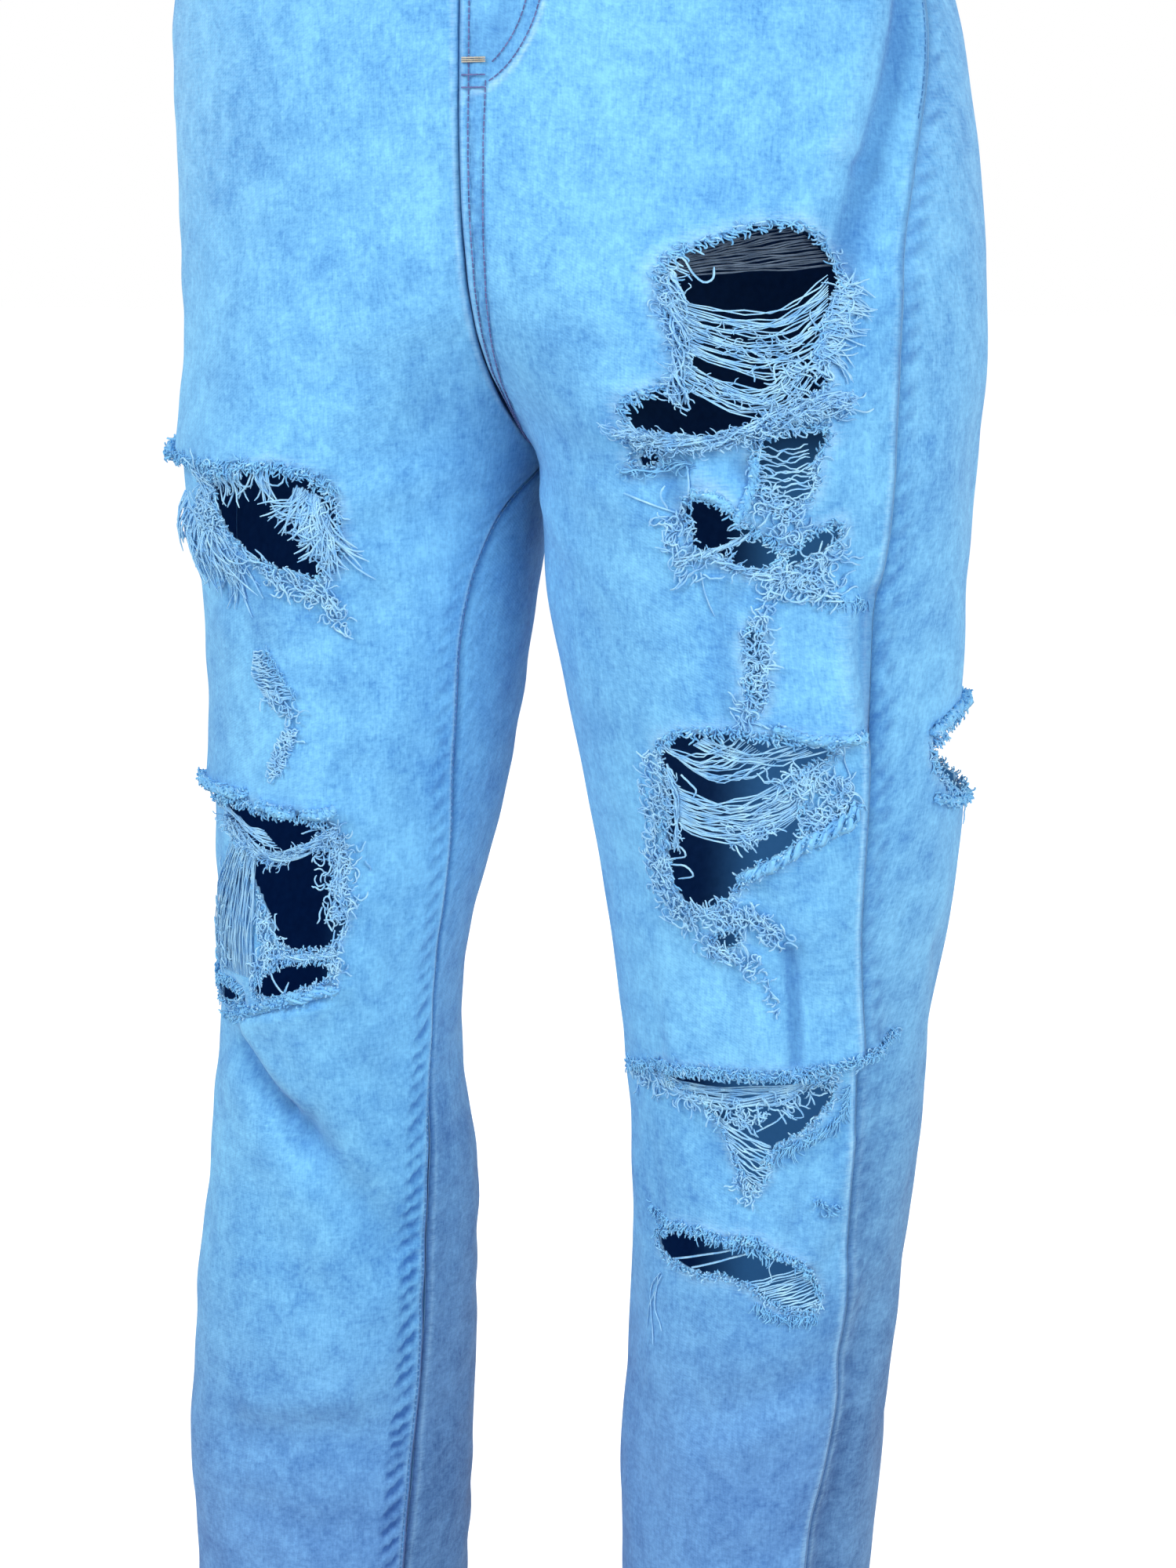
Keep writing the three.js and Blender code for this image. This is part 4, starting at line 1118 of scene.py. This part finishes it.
strand(LEFT, [(90, -697), (93, -702), (91, -711), (96, -713), (101, -711)], thick=0.4)
strand(LEFT, [(142, -716), (149, -726), (147, -742), (144, -754)], thick=0.38)
strand(LEFT, [(143, -717), (146, -735), (139, -745)], thick=0.34)
strand(LEFT, [(141, -717), (150, -738), (150, -748)], thick=0.34)
frays(LEFT, [(98, -722), (88, -728), (71, -730)], 80, 5, -80)
frays(LEFT, [(150, -684), (136, -687), (110, -689), (92, -696)], 130, 5, -90, 0.9, 0.4)

# The wearer's right leg: a square hole on the thigh with hanging bunches at both sides, worn spots under
# it, and a long tear over the knee with a twisted band and rolled edges.
rolled_edge(RIGHT, [(17, -329), (27, -333), (38, -334)], 2.2)
frays(
    RIGHT, [(36, -333), (52, -334), (67, -334), (86, -333), (100, -337), (107, -344)], 220, 5, -90, 0.9, 0.4
)
frays(RIGHT, [(68, -336), (77, -336)], 24, 14, -95, 0.15, 0.1, "pale", 0.5)
frays(RIGHT, [(83, -335), (87, -336)], 18, 17, -95, 0.15, 0.1, "pale", 0.5)
tangle(RIGHT, [(60, -340), (58, -356), (58, -372)], 13, 200, 13, 0.35)
frays(RIGHT, [(50, -352), (62, -364), (68, -376)], 110, 26, -125, 0.3, 0.07, "pale", 0.42)
frays(
    RIGHT, [(95, -343), (101, -347), (104, -356), (103, -365)], 110, 20, -118, 0.22, 0.09, "pale", 0.5, 2.6
)
frays(RIGHT, [(34, -352), (48, -360), (60, -366)], 60, 26, -95, 0.15, 0.06, "pale", 0.5, 5.0)
frays(RIGHT, [(95, -356), (100, -362), (102, -370)], 50, 12, -105, 0.3, 0.15, "pale", 0.5, 2.2)
tangle(RIGHT, [(100, -350), (101, -364), (96, -379)], 7, 80, 9)
tangle(RIGHT, [(74, -380), (84, -387), (94, -394), (97, -405)], 9, 130, 12)
bridge(RIGHT, [(62, -420), (60, -431), (65, -441)], [(68, -419), (72, -428), (79, -441)], 26, 0.5, 0.9, 0.9)
frays(RIGHT, [(68, -419), (72, -428), (79, -441)], 60, 4, 130, 0.9, 0.5)
tangle(RIGHT, [(66, -440), (78, -446)], 6, 60, 9)
bridge(RIGHT, [(74, -453), (69, -463), (65, -477)], [(79, -454), (76, -465), (71, -478)], 20, 0.5, 0.9, 0.9)
tangle(RIGHT, [(76, -455), (68, -478)], 5, 50, 7)
rolled_edge(RIGHT, [(12, -491), (26, -490), (42, -489), (56, -488)], 2.0)
rolled_edge(RIGHT, [(62, -491), (70, -494), (76, -494)], 2.2)
rolled_edge(RIGHT, [(80, -494), (86, -494), (91, -492)], 2.2)
bridge(RIGHT, [(28, -494), (44, -498)], [(60, -505), (68, -513)], 10, 3, 1.2)
rope(RIGHT, [(40, -503), (52, -511), (66, -518), (78, -513), (91, -502)], 2.6, 13)
tangle(RIGHT, [(86, -503), (92, -515), (94, -530), (91, -543)], 15, 250, 11)
bridge(RIGHT, [(46, -509), (58, -514)], [(12, -584), (52, -580)], 60, -3, 1.6, 1.4, 0.4)
tangle(RIGHT, [(36, -540), (26, -578)], 14, 60, 14, 0.2)
tangle(RIGHT, [(58, -545), (64, -560), (56, -577)], 12, 150, 10)
rope(RIGHT, [(62, -567), (76, -565), (93, -562)], 1.3, 7)
strand(RIGHT, [(61, -567), (65, -580), (70, -585), (72, -578)], thick=0.6)
tangle(RIGHT, [(92, -560), (96, -572)], 7, 50, 8)
rolled_edge(RIGHT, [(28, -607), (48, -599), (66, -589), (80, -584), (95, -579)], 2.5)
tangle(RIGHT, [(12, -586), (9, -600)], 8, 60, 7, colour="blue")

# The hole at the back of the left knee, beside the outseam: two frayed corners that stick out.
rolled_edge(LEFT, [(20, -450), (4, -443), (-12, -441)], 2.0)
rolled_edge(LEFT, [(20, -480), (4, -487), (-14, -489)], 2.0)
strand(LEFT, [(2, -487), (-3, -492), (2, -498)], thick=0.4, out=3.0)


def yarn_finish(name, light, dark):
    made, tree, shader = new_material(name, Roughness=0.95, Specular_IOR_Level=0.1, Sheen_Weight=0.08)
    share = maths(tree, "MULTIPLY_ADD", object_noise(tree, 170.0, 3.0), 2.4, -0.75, clamp=True)
    colour_between(tree, shader, share, dark, light)
    add_bump(tree, shader, object_noise(tree, 1500.0, 2.0), 0.5, 0.0003)
    return made


YARN_FINISH = {
    "pale": yarn_finish("bleached weft yarn", (0.47, 0.79, 1.0), (0.22, 0.52, 0.87)),
    "blue": yarn_finish("blue warp yarn", (0.29, 0.66, 0.95), (0.16, 0.45, 0.80)),
    # Painted shade: yarns coloured dark for the shade they hang in.
    "grey": yarn_finish("shaded yarn", (0.12, 0.17, 0.24), (0.05, 0.08, 0.13)),
}

deselect_all()
bpy.ops.mesh.primitive_circle_add(vertices=3, radius=MM)
bpy.ops.object.convert(target="CURVE")
section = bpy.context.object


def tubes(name, paths, finish):
    """One piece of many thin three-sided tubes, from paths in metres and radii in millimetres."""
    deselect_all()
    bpy.ops.curve.primitive_nurbs_path_add()
    piece = bpy.context.object
    piece.name = name
    lines = piece.data
    lines.splines.clear()
    lines.dimensions = "3D"
    lines.bevel_mode = "OBJECT"
    lines.bevel_object = section
    lines.use_fill_caps = True
    for places, thick in paths:
        line = lines.splines.new("POLY")
        line.points.add(len(places) - 1)
        line.points.foreach_set("co", np.hstack([places, np.ones((len(places), 1))]).ravel())
        radii = np.full(len(places), thick)
        radii[-1] = thick * 0.55
        line.points.foreach_set("radius", radii)
    bpy.ops.object.convert(target="MESH")
    piece = bpy.context.object
    piece.data.materials.clear()
    piece.data.materials.append(finish)
    bpy.ops.object.shade_smooth()
    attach(piece, "root")
    return piece


def place_yarn(side, laid):
    sizes = [len(path) for path, _ in laid]
    whole = np.concatenate([path for path, _ in laid])
    angle, z = whole[:, 0] / MEAN_RADIUS, whole[:, 1]
    places = on_form(side, angle, z, whole[:, 2] + relief(side, angle, z, 6.0))
    return zip(np.split(places, np.cumsum(sizes)[:-1]), [thick for _, thick in laid])


yarn_pieces = {LEFT: [], RIGHT: []}
for (side, zone, colour), laid in yarns.items():
    name = f"torn_yarn_{SIDES[side]}_{zone}_{colour}"
    piece = tubes(name, place_yarn(side, laid), YARN_FINISH[colour])
    yarn_pieces[side].append(piece)

# Seams: rows of heavy machine stitches that lie a little proud of the cloth. The rise and the fly are
# sewn twice with a violet thread that has faded, the ends of the fly are tacked in pale gold, and the
# rest is sewn in a blue close to the cloth.
sewn = {}


def sew(colour, places, pitch=3.3, thick=0.33, share=0.7):
    """Stitches along a dense row of places in metres, each one sunk at both ends."""
    run = run_along(places) / MM
    for k in range(int(run[-1] / pitch)):
        at = (k + 0.5 + share * np.array([-0.5, -0.3, 0, 0.3, 0.5])) * pitch
        path = np.stack([np.interp(at, run, places[:, axis]) for axis in range(3)], -1)
        sewn.setdefault(colour, []).append((path, thick))


def beside_seam(side, facing, distance, z, inner=True):
    """The angle of a line that runs at a distance in millimetres from a panel's long edge."""
    edge = panel_angle(side, facing, np.full(z.shape, 1.0 if inner else 0.0), z)
    return edge - (facing if inner else -facing) * distance / round_pace(side, edge, z)


def seam_row(side, facing, distance, top, bottom, colour, out=0.35, inner=True, pitch=3.3):
    z = np.linspace(top, bottom, max(8, round((top - bottom) / 4)))
    angle = beside_seam(side, facing, distance, z, inner)
    sew(colour, on_cloth(side, angle, z, out), pitch)


def front_angle(side, x, z):
    centre_x, _, wide, _, _ = oval(side, z)
    return np.arccos(np.clip((x - centre_x) / wide, -1, 1))


for narrow, wide, top in ((3.4, 4.2, -24), (7, 11.5, FLY_END + 4)):
    z = np.linspace(top, CROTCH + 6, 60)
    distance = narrow + (wide - narrow) * unit((z - CROTCH) / 160)
    sew("violet", on_cloth(LEFT, beside_seam(LEFT, FRONT, distance, z), z, 0.75), 2.7, 0.36, 0.85)
turns = np.linspace(0, math.pi / 2, 20)
for inset in (0, 5.5):
    x = np.concatenate([[FLY_WIDTH - inset] * 8, (FLY_WIDTH - inset) * np.cos(turns)])
    curved = FLY_STRAIGHT - (FLY_CURVE - inset) * np.sin(turns)
    z = np.concatenate([np.linspace(-24, FLY_STRAIGHT, 8), curved])
    x, z = x[x > FLY_LAP], z[x > FLY_LAP]
    sew("violet", on_cloth(LEFT, front_angle(LEFT, x, z), z, 0.2), 2.7, 0.36, 0.85)
for z0, colour in ((-165.2, "gold"), (-166, "gold"), (-166.8, "gold"), (-172, "violet"), (-177, "violet")):
    x = np.linspace(1.5, 12, 6)
    z = np.full(6, z0)
    sew(colour, on_cloth(LEFT, front_angle(LEFT, x, z), z, 1.3), 2.6, 0.42, 0.98)
for side in SIDES:
    seam_row(side, FRONT, 2.4, CROTCH - 12, HEM + 4, "blue", 0.3)
    seam_row(side, FRONT, 2.2, WAIST_BOTTOM - SCOOP_DEPTH - 6, -190, "blue", 0.3, inner=False)
    for distance in (2.2, 7.5):
        arc = scoop_outline(side, distance)[1:-2]
        share, known = np.linspace(0, 1, 60), np.linspace(0, 1, len(arc))
        along, z = np.interp(share, known, arc[:, 0]), np.interp(share, known, arc[:, 1])
        sew("blue", on_cloth(side, along / MEAN_RADIUS, z, 0.3))
        across = np.linspace(0.01, 0.99, 60)
        z = YOKE_SIDE + (YOKE_MIDDLE - YOKE_SIDE) * across + distance
        sew("blue", on_cloth(side, panel_angle(side, BACK, across, z), z, 0.3))
for distance in (2.2, 8.5):
    seam_row(LEFT, BACK, distance, YOKE_MIDDLE - 4, CROTCH + 4, "blue", 0.6)
for side in SIDES:
    for facing in (FRONT, BACK):
        across = np.linspace(0.005, 0.995, 50)
        z = np.full(50, HEM + 12.5)
        sew("blue", on_cloth(side, panel_angle(side, facing, across, z), z, 0.25))

# The yokes: two shaped bands of the same cloth, sewn between the waistband and the back legs. They give
# the seat its shape.
small_pieces = []


def edge_wear(shape, reach=2.0):
    """Wear along all four edges of a small piece, from the rows and columns nearest to them."""
    rows, columns = shape
    j, i = np.indices(shape)
    nearest = np.minimum(np.minimum(i, columns - 1 - i), np.minimum(j, rows - 1 - j))
    return 0.8 * bell(nearest, reach)


def small_cloth(cad_name, places, along, z, finish, thickness=CLOTH, turned=False, keep=None, lining=None):
    """A grid of cloth in place of one solid, with wear along its edges."""
    values = {"wear_and_highlight": edge_wear(z.shape), "shade": np.zeros(z.shape), "low": low_share(z)}
    piece = shape_grid(f"{cad_name}_cloth", places, np.stack([along, z], -1), values, keep, turned)
    thicken(piece, [finish, lining or finish, finish], thickness)
    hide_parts(cad_name)
    small_pieces.append(piece)


for side, word in SIDES.items():
    across, up = lattice(16, 50)
    edge = YOKE_SIDE + (YOKE_MIDDLE - YOKE_SIDE) * across + SEAM_GAP / 2
    z = edge + (WAIST_BOTTOM - SEAM_GAP / 2 - edge) * up
    angle = panel_angle(side, BACK, across, z)
    out = relief(side, angle, z) + 0.35 * bell(z - edge, 8, 4)
    places = on_form(side, angle, z, out)
    small_cloth(
        f"yoke_{word}", places, angle * MEAN_RADIUS, z, back_denim_painted_darker, turned=side < 0, lining=inside_painted_dark
    )

# Two patch pockets on the seat, pointed below, each with a turned hem across its mouth and sewn on with
# two rows round its sides.
POCKET_MIDDLE = 88
POCKET_TOP = -110
POCKET_BOTTOM = -252
POCKET_POINT = 14
POCKET_WIDE = 144
POCKET_NARROW = 126
POCKET_FLANK = POCKET_TOP - POCKET_BOTTOM - POCKET_POINT
POCKET_HALF = 68
POCKET_TALL = 140
POCKET_GAPE = 1.6


def pocket_place(side, share, up, out):
    """share runs from -1 to 1 across the pocket and up from 0 to 1, from its point to its mouth."""
    low = POCKET_BOTTOM + POCKET_POINT * np.abs(share)
    z = low + (POCKET_TOP - low) * up
    widening = unit((z - POCKET_BOTTOM - POCKET_POINT) / POCKET_FLANK)
    wide = POCKET_NARROW + (POCKET_WIDE - POCKET_NARROW) * widening
    x = POCKET_MIDDLE + share * wide / 2
    angle = -front_angle(side, x, z)
    return on_cloth(side, angle, z, out), x, z


for side, word in SIDES.items():
    share, up = lattice(44, 45, across=(-1, 1))
    _, x, z = pocket_place(side, share, up, 0)
    border = np.minimum((1 - np.abs(share)) * POCKET_HALF, up * 130)
    mouth = (1 - up) * POCKET_TALL
    out = CLOTH + SEAM_GAP + 0.4 * bell(border, 7, 4) + 0.8 * bell(mouth, 13, 6)
    out = out + POCKET_GAPE * unit(1 - mouth / 60) ** 2 * unit(border / 40) + 0.25 * ripple(x, z, 22, 31)
    places, x, z = pocket_place(side, share, up, out)
    small_cloth(f"back_pocket_{word}", places, x * side, z, back_denim_painted_darker, turned=side < 0)
    for inset in (2, 7.5):
        edge, low = 1 - inset / POCKET_HALF, inset / POCKET_TALL
        rim = [(-edge, 0.994), *[(-edge, t) for t in np.linspace(0.97, low, 30)]]
        rim += [(s, low) for s in np.linspace(-edge, edge, 30)]
        rim += [(edge, t) for t in np.linspace(low, 0.994, 30)]
        shares, ups = np.array(rim).T
        sew("blue", pocket_place(side, shares, ups, CLOTH + SEAM_GAP + 0.75)[0])
    for drop in (3, 12):
        shares = np.linspace(-0.98, 0.98, 40)
        bulge = POCKET_GAPE * (1 - drop / 60) ** 2 * unit((1 - np.abs(shares)) * 1.7)
        ups = np.full(40, 1 - drop / POCKET_TALL)
        sew("blue", pocket_place(side, shares, ups, CLOTH + SEAM_GAP + 1.2 + bulge)[0])

# The facings: the piece of hip cloth that shows in each front pocket opening, the fly's facing behind
# the wearer's left front, and the hems, turned up once inside both legs.
FACING_MARGIN = 24
HEM_TURN = 16
for side, word in SIDES.items():
    share, level = lattice(30, 32, up=(0.985, 0))
    z = WAIST_BOTTOM - SEAM_GAP / 2 - (SCOOP_DEPTH + FACING_MARGIN - 0.5) * level
    outer = panel_angle(side, FRONT, np.zeros(z.shape), z)
    inner = outseam_top(side) + (SCOOP_WIDTH + FACING_MARGIN) * np.sqrt(1 - level ** 2) / SCOOP_RADIUS
    angle = outer + (inner - outer) * share
    out = relief(side, angle, z) - CLOTH - SEAM_GAP
    places = on_form(side, angle, z, out)
    small_cloth(f"pocket_facing_{word}", places, angle * MEAN_RADIUS, z, back_denim_painted_darker, turned=side > 0)

    across, z = lattice(7, 60, up=(HEM, HEM + HEM_TURN))
    in_front = panel_angle(side, FRONT, across, z)
    behind = panel_angle(side, BACK, across, z)[:, ::-1]
    z = np.hstack([z, z])
    out = relief(side, np.hstack([in_front, behind]), z) - CLOTH - SEAM_GAP
    angle = np.hstack([in_front, behind + 2 * math.pi])
    places = on_form(side, angle, z, out)
    small_cloth(f"hem_{word}", places, angle * MEAN_RADIUS, z, back_denim_painted_darker, turned=side > 0)

share, z = lattice(40, 16, up=(FLY_END + 0.5, WAIST_BOTTOM - SEAM_GAP))
below = unit((FLY_STRAIGHT - z) / FLY_CURVE)
x = SEAM_GAP + (np.maximum(FLY_WIDTH * np.sqrt(1 - below ** 2), 2) - SEAM_GAP) * share
angle = front_angle(LEFT, x, z)
out = relief(LEFT, angle, z) - CLOTH - SEAM_GAP
small_cloth("fly_facing", on_form(LEFT, angle, z, out), angle * MEAN_RADIUS, z, back_denim_painted_darker)

# The waistband: a doubled strip round the top, with a buttonhole at its left end, sewn along both edges.
# Its right end runs on behind the buttonhole and carries the button.
BAND_OUT = 1.2
BAND_WALL = 3.0
BAND_PACE = 2.35
UNDERLAP = 13.5
EYELET = 5


def band_place(degrees, z, out):
    """Degrees from the centre front; the last ones, under the lap, lie one wall further in."""
    step = smooth((degrees - 352) / 7.6) * (BAND_WALL + SEAM_GAP)
    return on_form(LEFT, np.radians(90 - degrees), z, out - step)


degrees, z = lattice(13, 380, across=(0, 360 + UNDERLAP), up=(WAIST_BOTTOM + SEAM_GAP / 2, WAIST_TOP))
turns = np.linspace(0, 6.02, 22)
eyelet = np.stack([EYELET * BAND_PACE + 3.8 * np.cos(turns), 3.4 * np.sin(turns)], -1)
along, z, gap = to_outline(eyelet, degrees * BAND_PACE, z)
keep = faces_outside(gap)
degrees = along / BAND_PACE
edge_gap = np.minimum(z - WAIST_BOTTOM, WAIST_TOP - z)
out = BAND_OUT + 0.25 - 0.7 * bell(edge_gap, 1.6) - 0.25 * bell(edge_gap - 3, 1.2)
out = out + 0.22 * ripple(along, z, 26, 51)
small_cloth("waistband", band_place(degrees, z, out), along, z, front_denim, BAND_WALL, keep=keep)
for level in (WAIST_TOP - 3, WAIST_BOTTOM + 3):
    degrees = np.linspace(1.2, 359, 400)
    sew("blue", band_place(degrees, np.full(400, level), BAND_OUT + 0.3))
sew("blue", band_place(np.full(12, 1.4), np.linspace(-15, 15, 12), BAND_OUT + 0.35))
for turn in np.linspace(0, 2 * math.pi, 30)[:-1]:
    spoke = np.array([3.6, 4.6, 5.6])
    degrees, z = EYELET + spoke * math.cos(turn) / BAND_PACE, spoke * math.sin(turn)
    sew("blue", band_place(degrees, z, BAND_OUT + 0.5), 2.2, 0.4, 1.0)

# Five belt loops, folded strips that bow a little away from the waistband and are tacked at both ends.
LOOP_ANGLES = (57, -48, -90, -132, 123)
LOOP_TOP = 19
LOOP_BOTTOM = -31
LOOP_WIDTH = 11
LOOP_WALL = 1.4
LOOP_BOW = 2.4


def loop_place(middle, across, z, out):
    """across is in millimetres from the middle of the loop, out from the waistband."""
    bow = LOOP_BOW * np.sin(math.pi * (LOOP_TOP - z) / (LOOP_TOP - LOOP_BOTTOM))
    angle = math.radians(middle) + across / oval(LEFT, z)[2]
    return on_form(LEFT, angle, z, BAND_OUT + SEAM_GAP + out + bow)


for number, middle in enumerate(LOOP_ANGLES, 1):
    share, z = lattice(26, 13, across=(-0.5, 0.5), up=(LOOP_BOTTOM, LOOP_TOP))
    crown = 0.35 * np.cos(math.pi * share) - 0.15 * bell(np.abs(share) - 0.3, 0.07)
    places = loop_place(middle, -share * LOOP_WIDTH, z, 1.1 + crown)
    small_cloth(f"belt_loop_{number}", places, share * LOOP_WIDTH, z, front_denim, LOOP_WALL)
    for across in (-3.3, 3.3):
        sew("blue", loop_place(middle, across, np.linspace(-28, 16, 30), 1.55))
    for level in (17.2, -29.4):
        z = np.linspace(level - 0.9, level + 0.9, 4)
        for across in np.linspace(-5, 5, 12):
            sewn.setdefault("blue", []).append((loop_place(middle, across, z, 1.75), 0.42))

# The zip: a cotton tape set deep behind the fly with a fine coil down its middle, and its closed slider.
tape_finish, tape_tree, tape_shader = new_material("cotton zip tape", Roughness=0.9, Specular_IOR_Level=0.15)
tape_place = add_node(tape_tree, "ShaderNodeTexCoord").outputs["Object"]
tape_weave = add_node(tape_tree, "ShaderNodeTexWave", Vector=tape_place, Scale=900.0, Distortion=0.6)
tape_weave = tape_weave.outputs["Fac"]
colour_between(tape_tree, tape_shader, tape_weave, (0.012, 0.035, 0.085), (0.03, 0.075, 0.16))
add_bump(tape_tree, tape_shader, tape_weave, 0.4, 0.0002)
ZIP_HALF = 13
ZIP_TOP = -26
ZIP_BOTTOM = -166
ZIP_DEPTH = -8
ZIP_WALL = 0.8


def tape_at(x, z, out):
    """Like the wearer's left side on both sides of the middle."""
    left = on_form(LEFT, front_angle(LEFT, np.abs(x), z), z, out)
    return left * np.where(x < 0, -1, 1)[..., None] ** np.array([1, 0, 0])


x, z = lattice(60, 21, across=(-ZIP_HALF, ZIP_HALF), up=(ZIP_BOTTOM, ZIP_TOP))
coil = 0.35 * bell(x, 2.5)
small_cloth("zip_tape", tape_at(x, z, ZIP_DEPTH - 0.3 + coil), x, z, tape_finish, ZIP_WALL)

# The button: a domed brass cap with a plain rim, on a shank that goes through the buttonhole. The zip's
# slider is of the same brass.
brass, brass_tree, brass_shader = new_material("aged brass", Metallic=1.0)
tarnish = object_noise(brass_tree, 420.0, 4.0)
colour_between(brass_tree, brass_shader, tarnish, (0.30, 0.19, 0.10), (0.72, 0.50, 0.30))
brass_rough = maths(brass_tree, "MULTIPLY_ADD", tarnish, 0.4, 0.18)
brass_tree.links.new(brass_rough, brass_shader.inputs["Roughness"])
add_bump(brass_tree, brass_shader, tarnish, 0.15, 0.0002)
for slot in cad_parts["zip_slider"].material_slots:
    slot.material = brass

profile = np.array([
    (0.01, -3.1), (2.6, -3.1), (2.8, -2.9), (2.8, -0.1), (3.0, 0), (7.4, 0), (8.1, 0.25), (8.5, 0.8),
    (8.5, 1.7), (8.2, 2.25), (7.6, 2.5), (7.0, 2.35), (6.5, 1.95), (5.9, 1.9), (5.2, 2.2), (3.6, 2.7),
    (1.8, 2.93), (0.01, 3.0),
])
around = np.linspace(0, 2 * math.pi, 49)
button_angle = math.radians(90 - EYELET)
seat = on_form(LEFT, button_angle, 0.0, BAND_OUT + SEAM_GAP)
across_way = on_form(LEFT, button_angle - 0.05, 0.0, 0.0) - on_form(LEFT, button_angle + 0.05, 0.0, 0.0)
up_way = on_form(LEFT, button_angle, 20.0, 0.0) - on_form(LEFT, button_angle, -20.0, 0.0)
across_way /= np.linalg.norm(across_way)
up_way /= np.linalg.norm(up_way)
out_way = np.cross(across_way, up_way)
out_way = out_way * (1 if out_way[1] < 0 else -1)
radius, height = profile[:, :1, None] * MM, profile[:, 1:, None] * MM
ring = np.cos(around)[None, :, None] * across_way + np.sin(around)[None, :, None] * up_way
places = seat + radius * ring + height * out_way
cloth = np.stack(np.broadcast_arrays(around * 8, profile[:, 1:]), -1)
button = shape_grid("button_cap", places, cloth, {})
shaping = bmesh.new()
shaping.from_mesh(button.data)
bmesh.ops.remove_doubles(shaping, verts=shaping.verts, dist=0.00003)
bmesh.ops.recalc_face_normals(shaping, faces=shaping.faces)
shaping.to_mesh(button.data)
shaping.free()
button.data.materials.append(brass)
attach(button, "root")
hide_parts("button")

# All the stitches of one colour are one piece.
THREAD = {
    "violet": yarn_finish("faded violet thread", (0.20, 0.22, 0.46), (0.08, 0.10, 0.27)),
    "gold": yarn_finish("pale gold thread", (0.60, 0.58, 0.50), (0.42, 0.40, 0.34)),
    "blue": yarn_finish("blue thread", (0.12, 0.34, 0.66), (0.05, 0.18, 0.42)),
}
for colour, rows in sewn.items():
    piece = tubes(f"stitches_{colour}", rows, THREAD[colour])

bpy.data.objects.remove(section)

# Each cloth piece looks up the size it was cut to, the share it fills and the pieces that hold it.
CUTS = {
    "waistband": ((0.795, 0.043), 1.0, ["yoke_left", "yoke_right"]),
    "belt_loop": ((0.0115, 0.052), 1.0, ["waistband"]),
    "yoke": ((0.205, 0.07), 0.78, ["waistband"]),
    "back_pocket": ((0.148, 0.146), 1.0, ["back_{}"]),
    "pocket_facing": ((0.119, 0.099), 0.8, ["waistband", "front_{}"]),
    "hem_left": ((0.345, 0.017), 1.0, ["front_left", "back_left"]),
    "hem_right": ((0.385, 0.017), 1.0, ["front_right", "back_right"]),
    "fly_facing": ((0.036, 0.15), 1.0, ["front_left"]),
    "zip_tape": ((0.026, 0.134), 1.0, ["fly_facing"]),
}
for piece in small_pieces:
    cut, filled, holders = next(CUTS[word] for word in CUTS if piece.name.startswith(word))
    word = "left" if "left" in piece.name else "right"
    holders = [holder.format(word) for holder in holders]
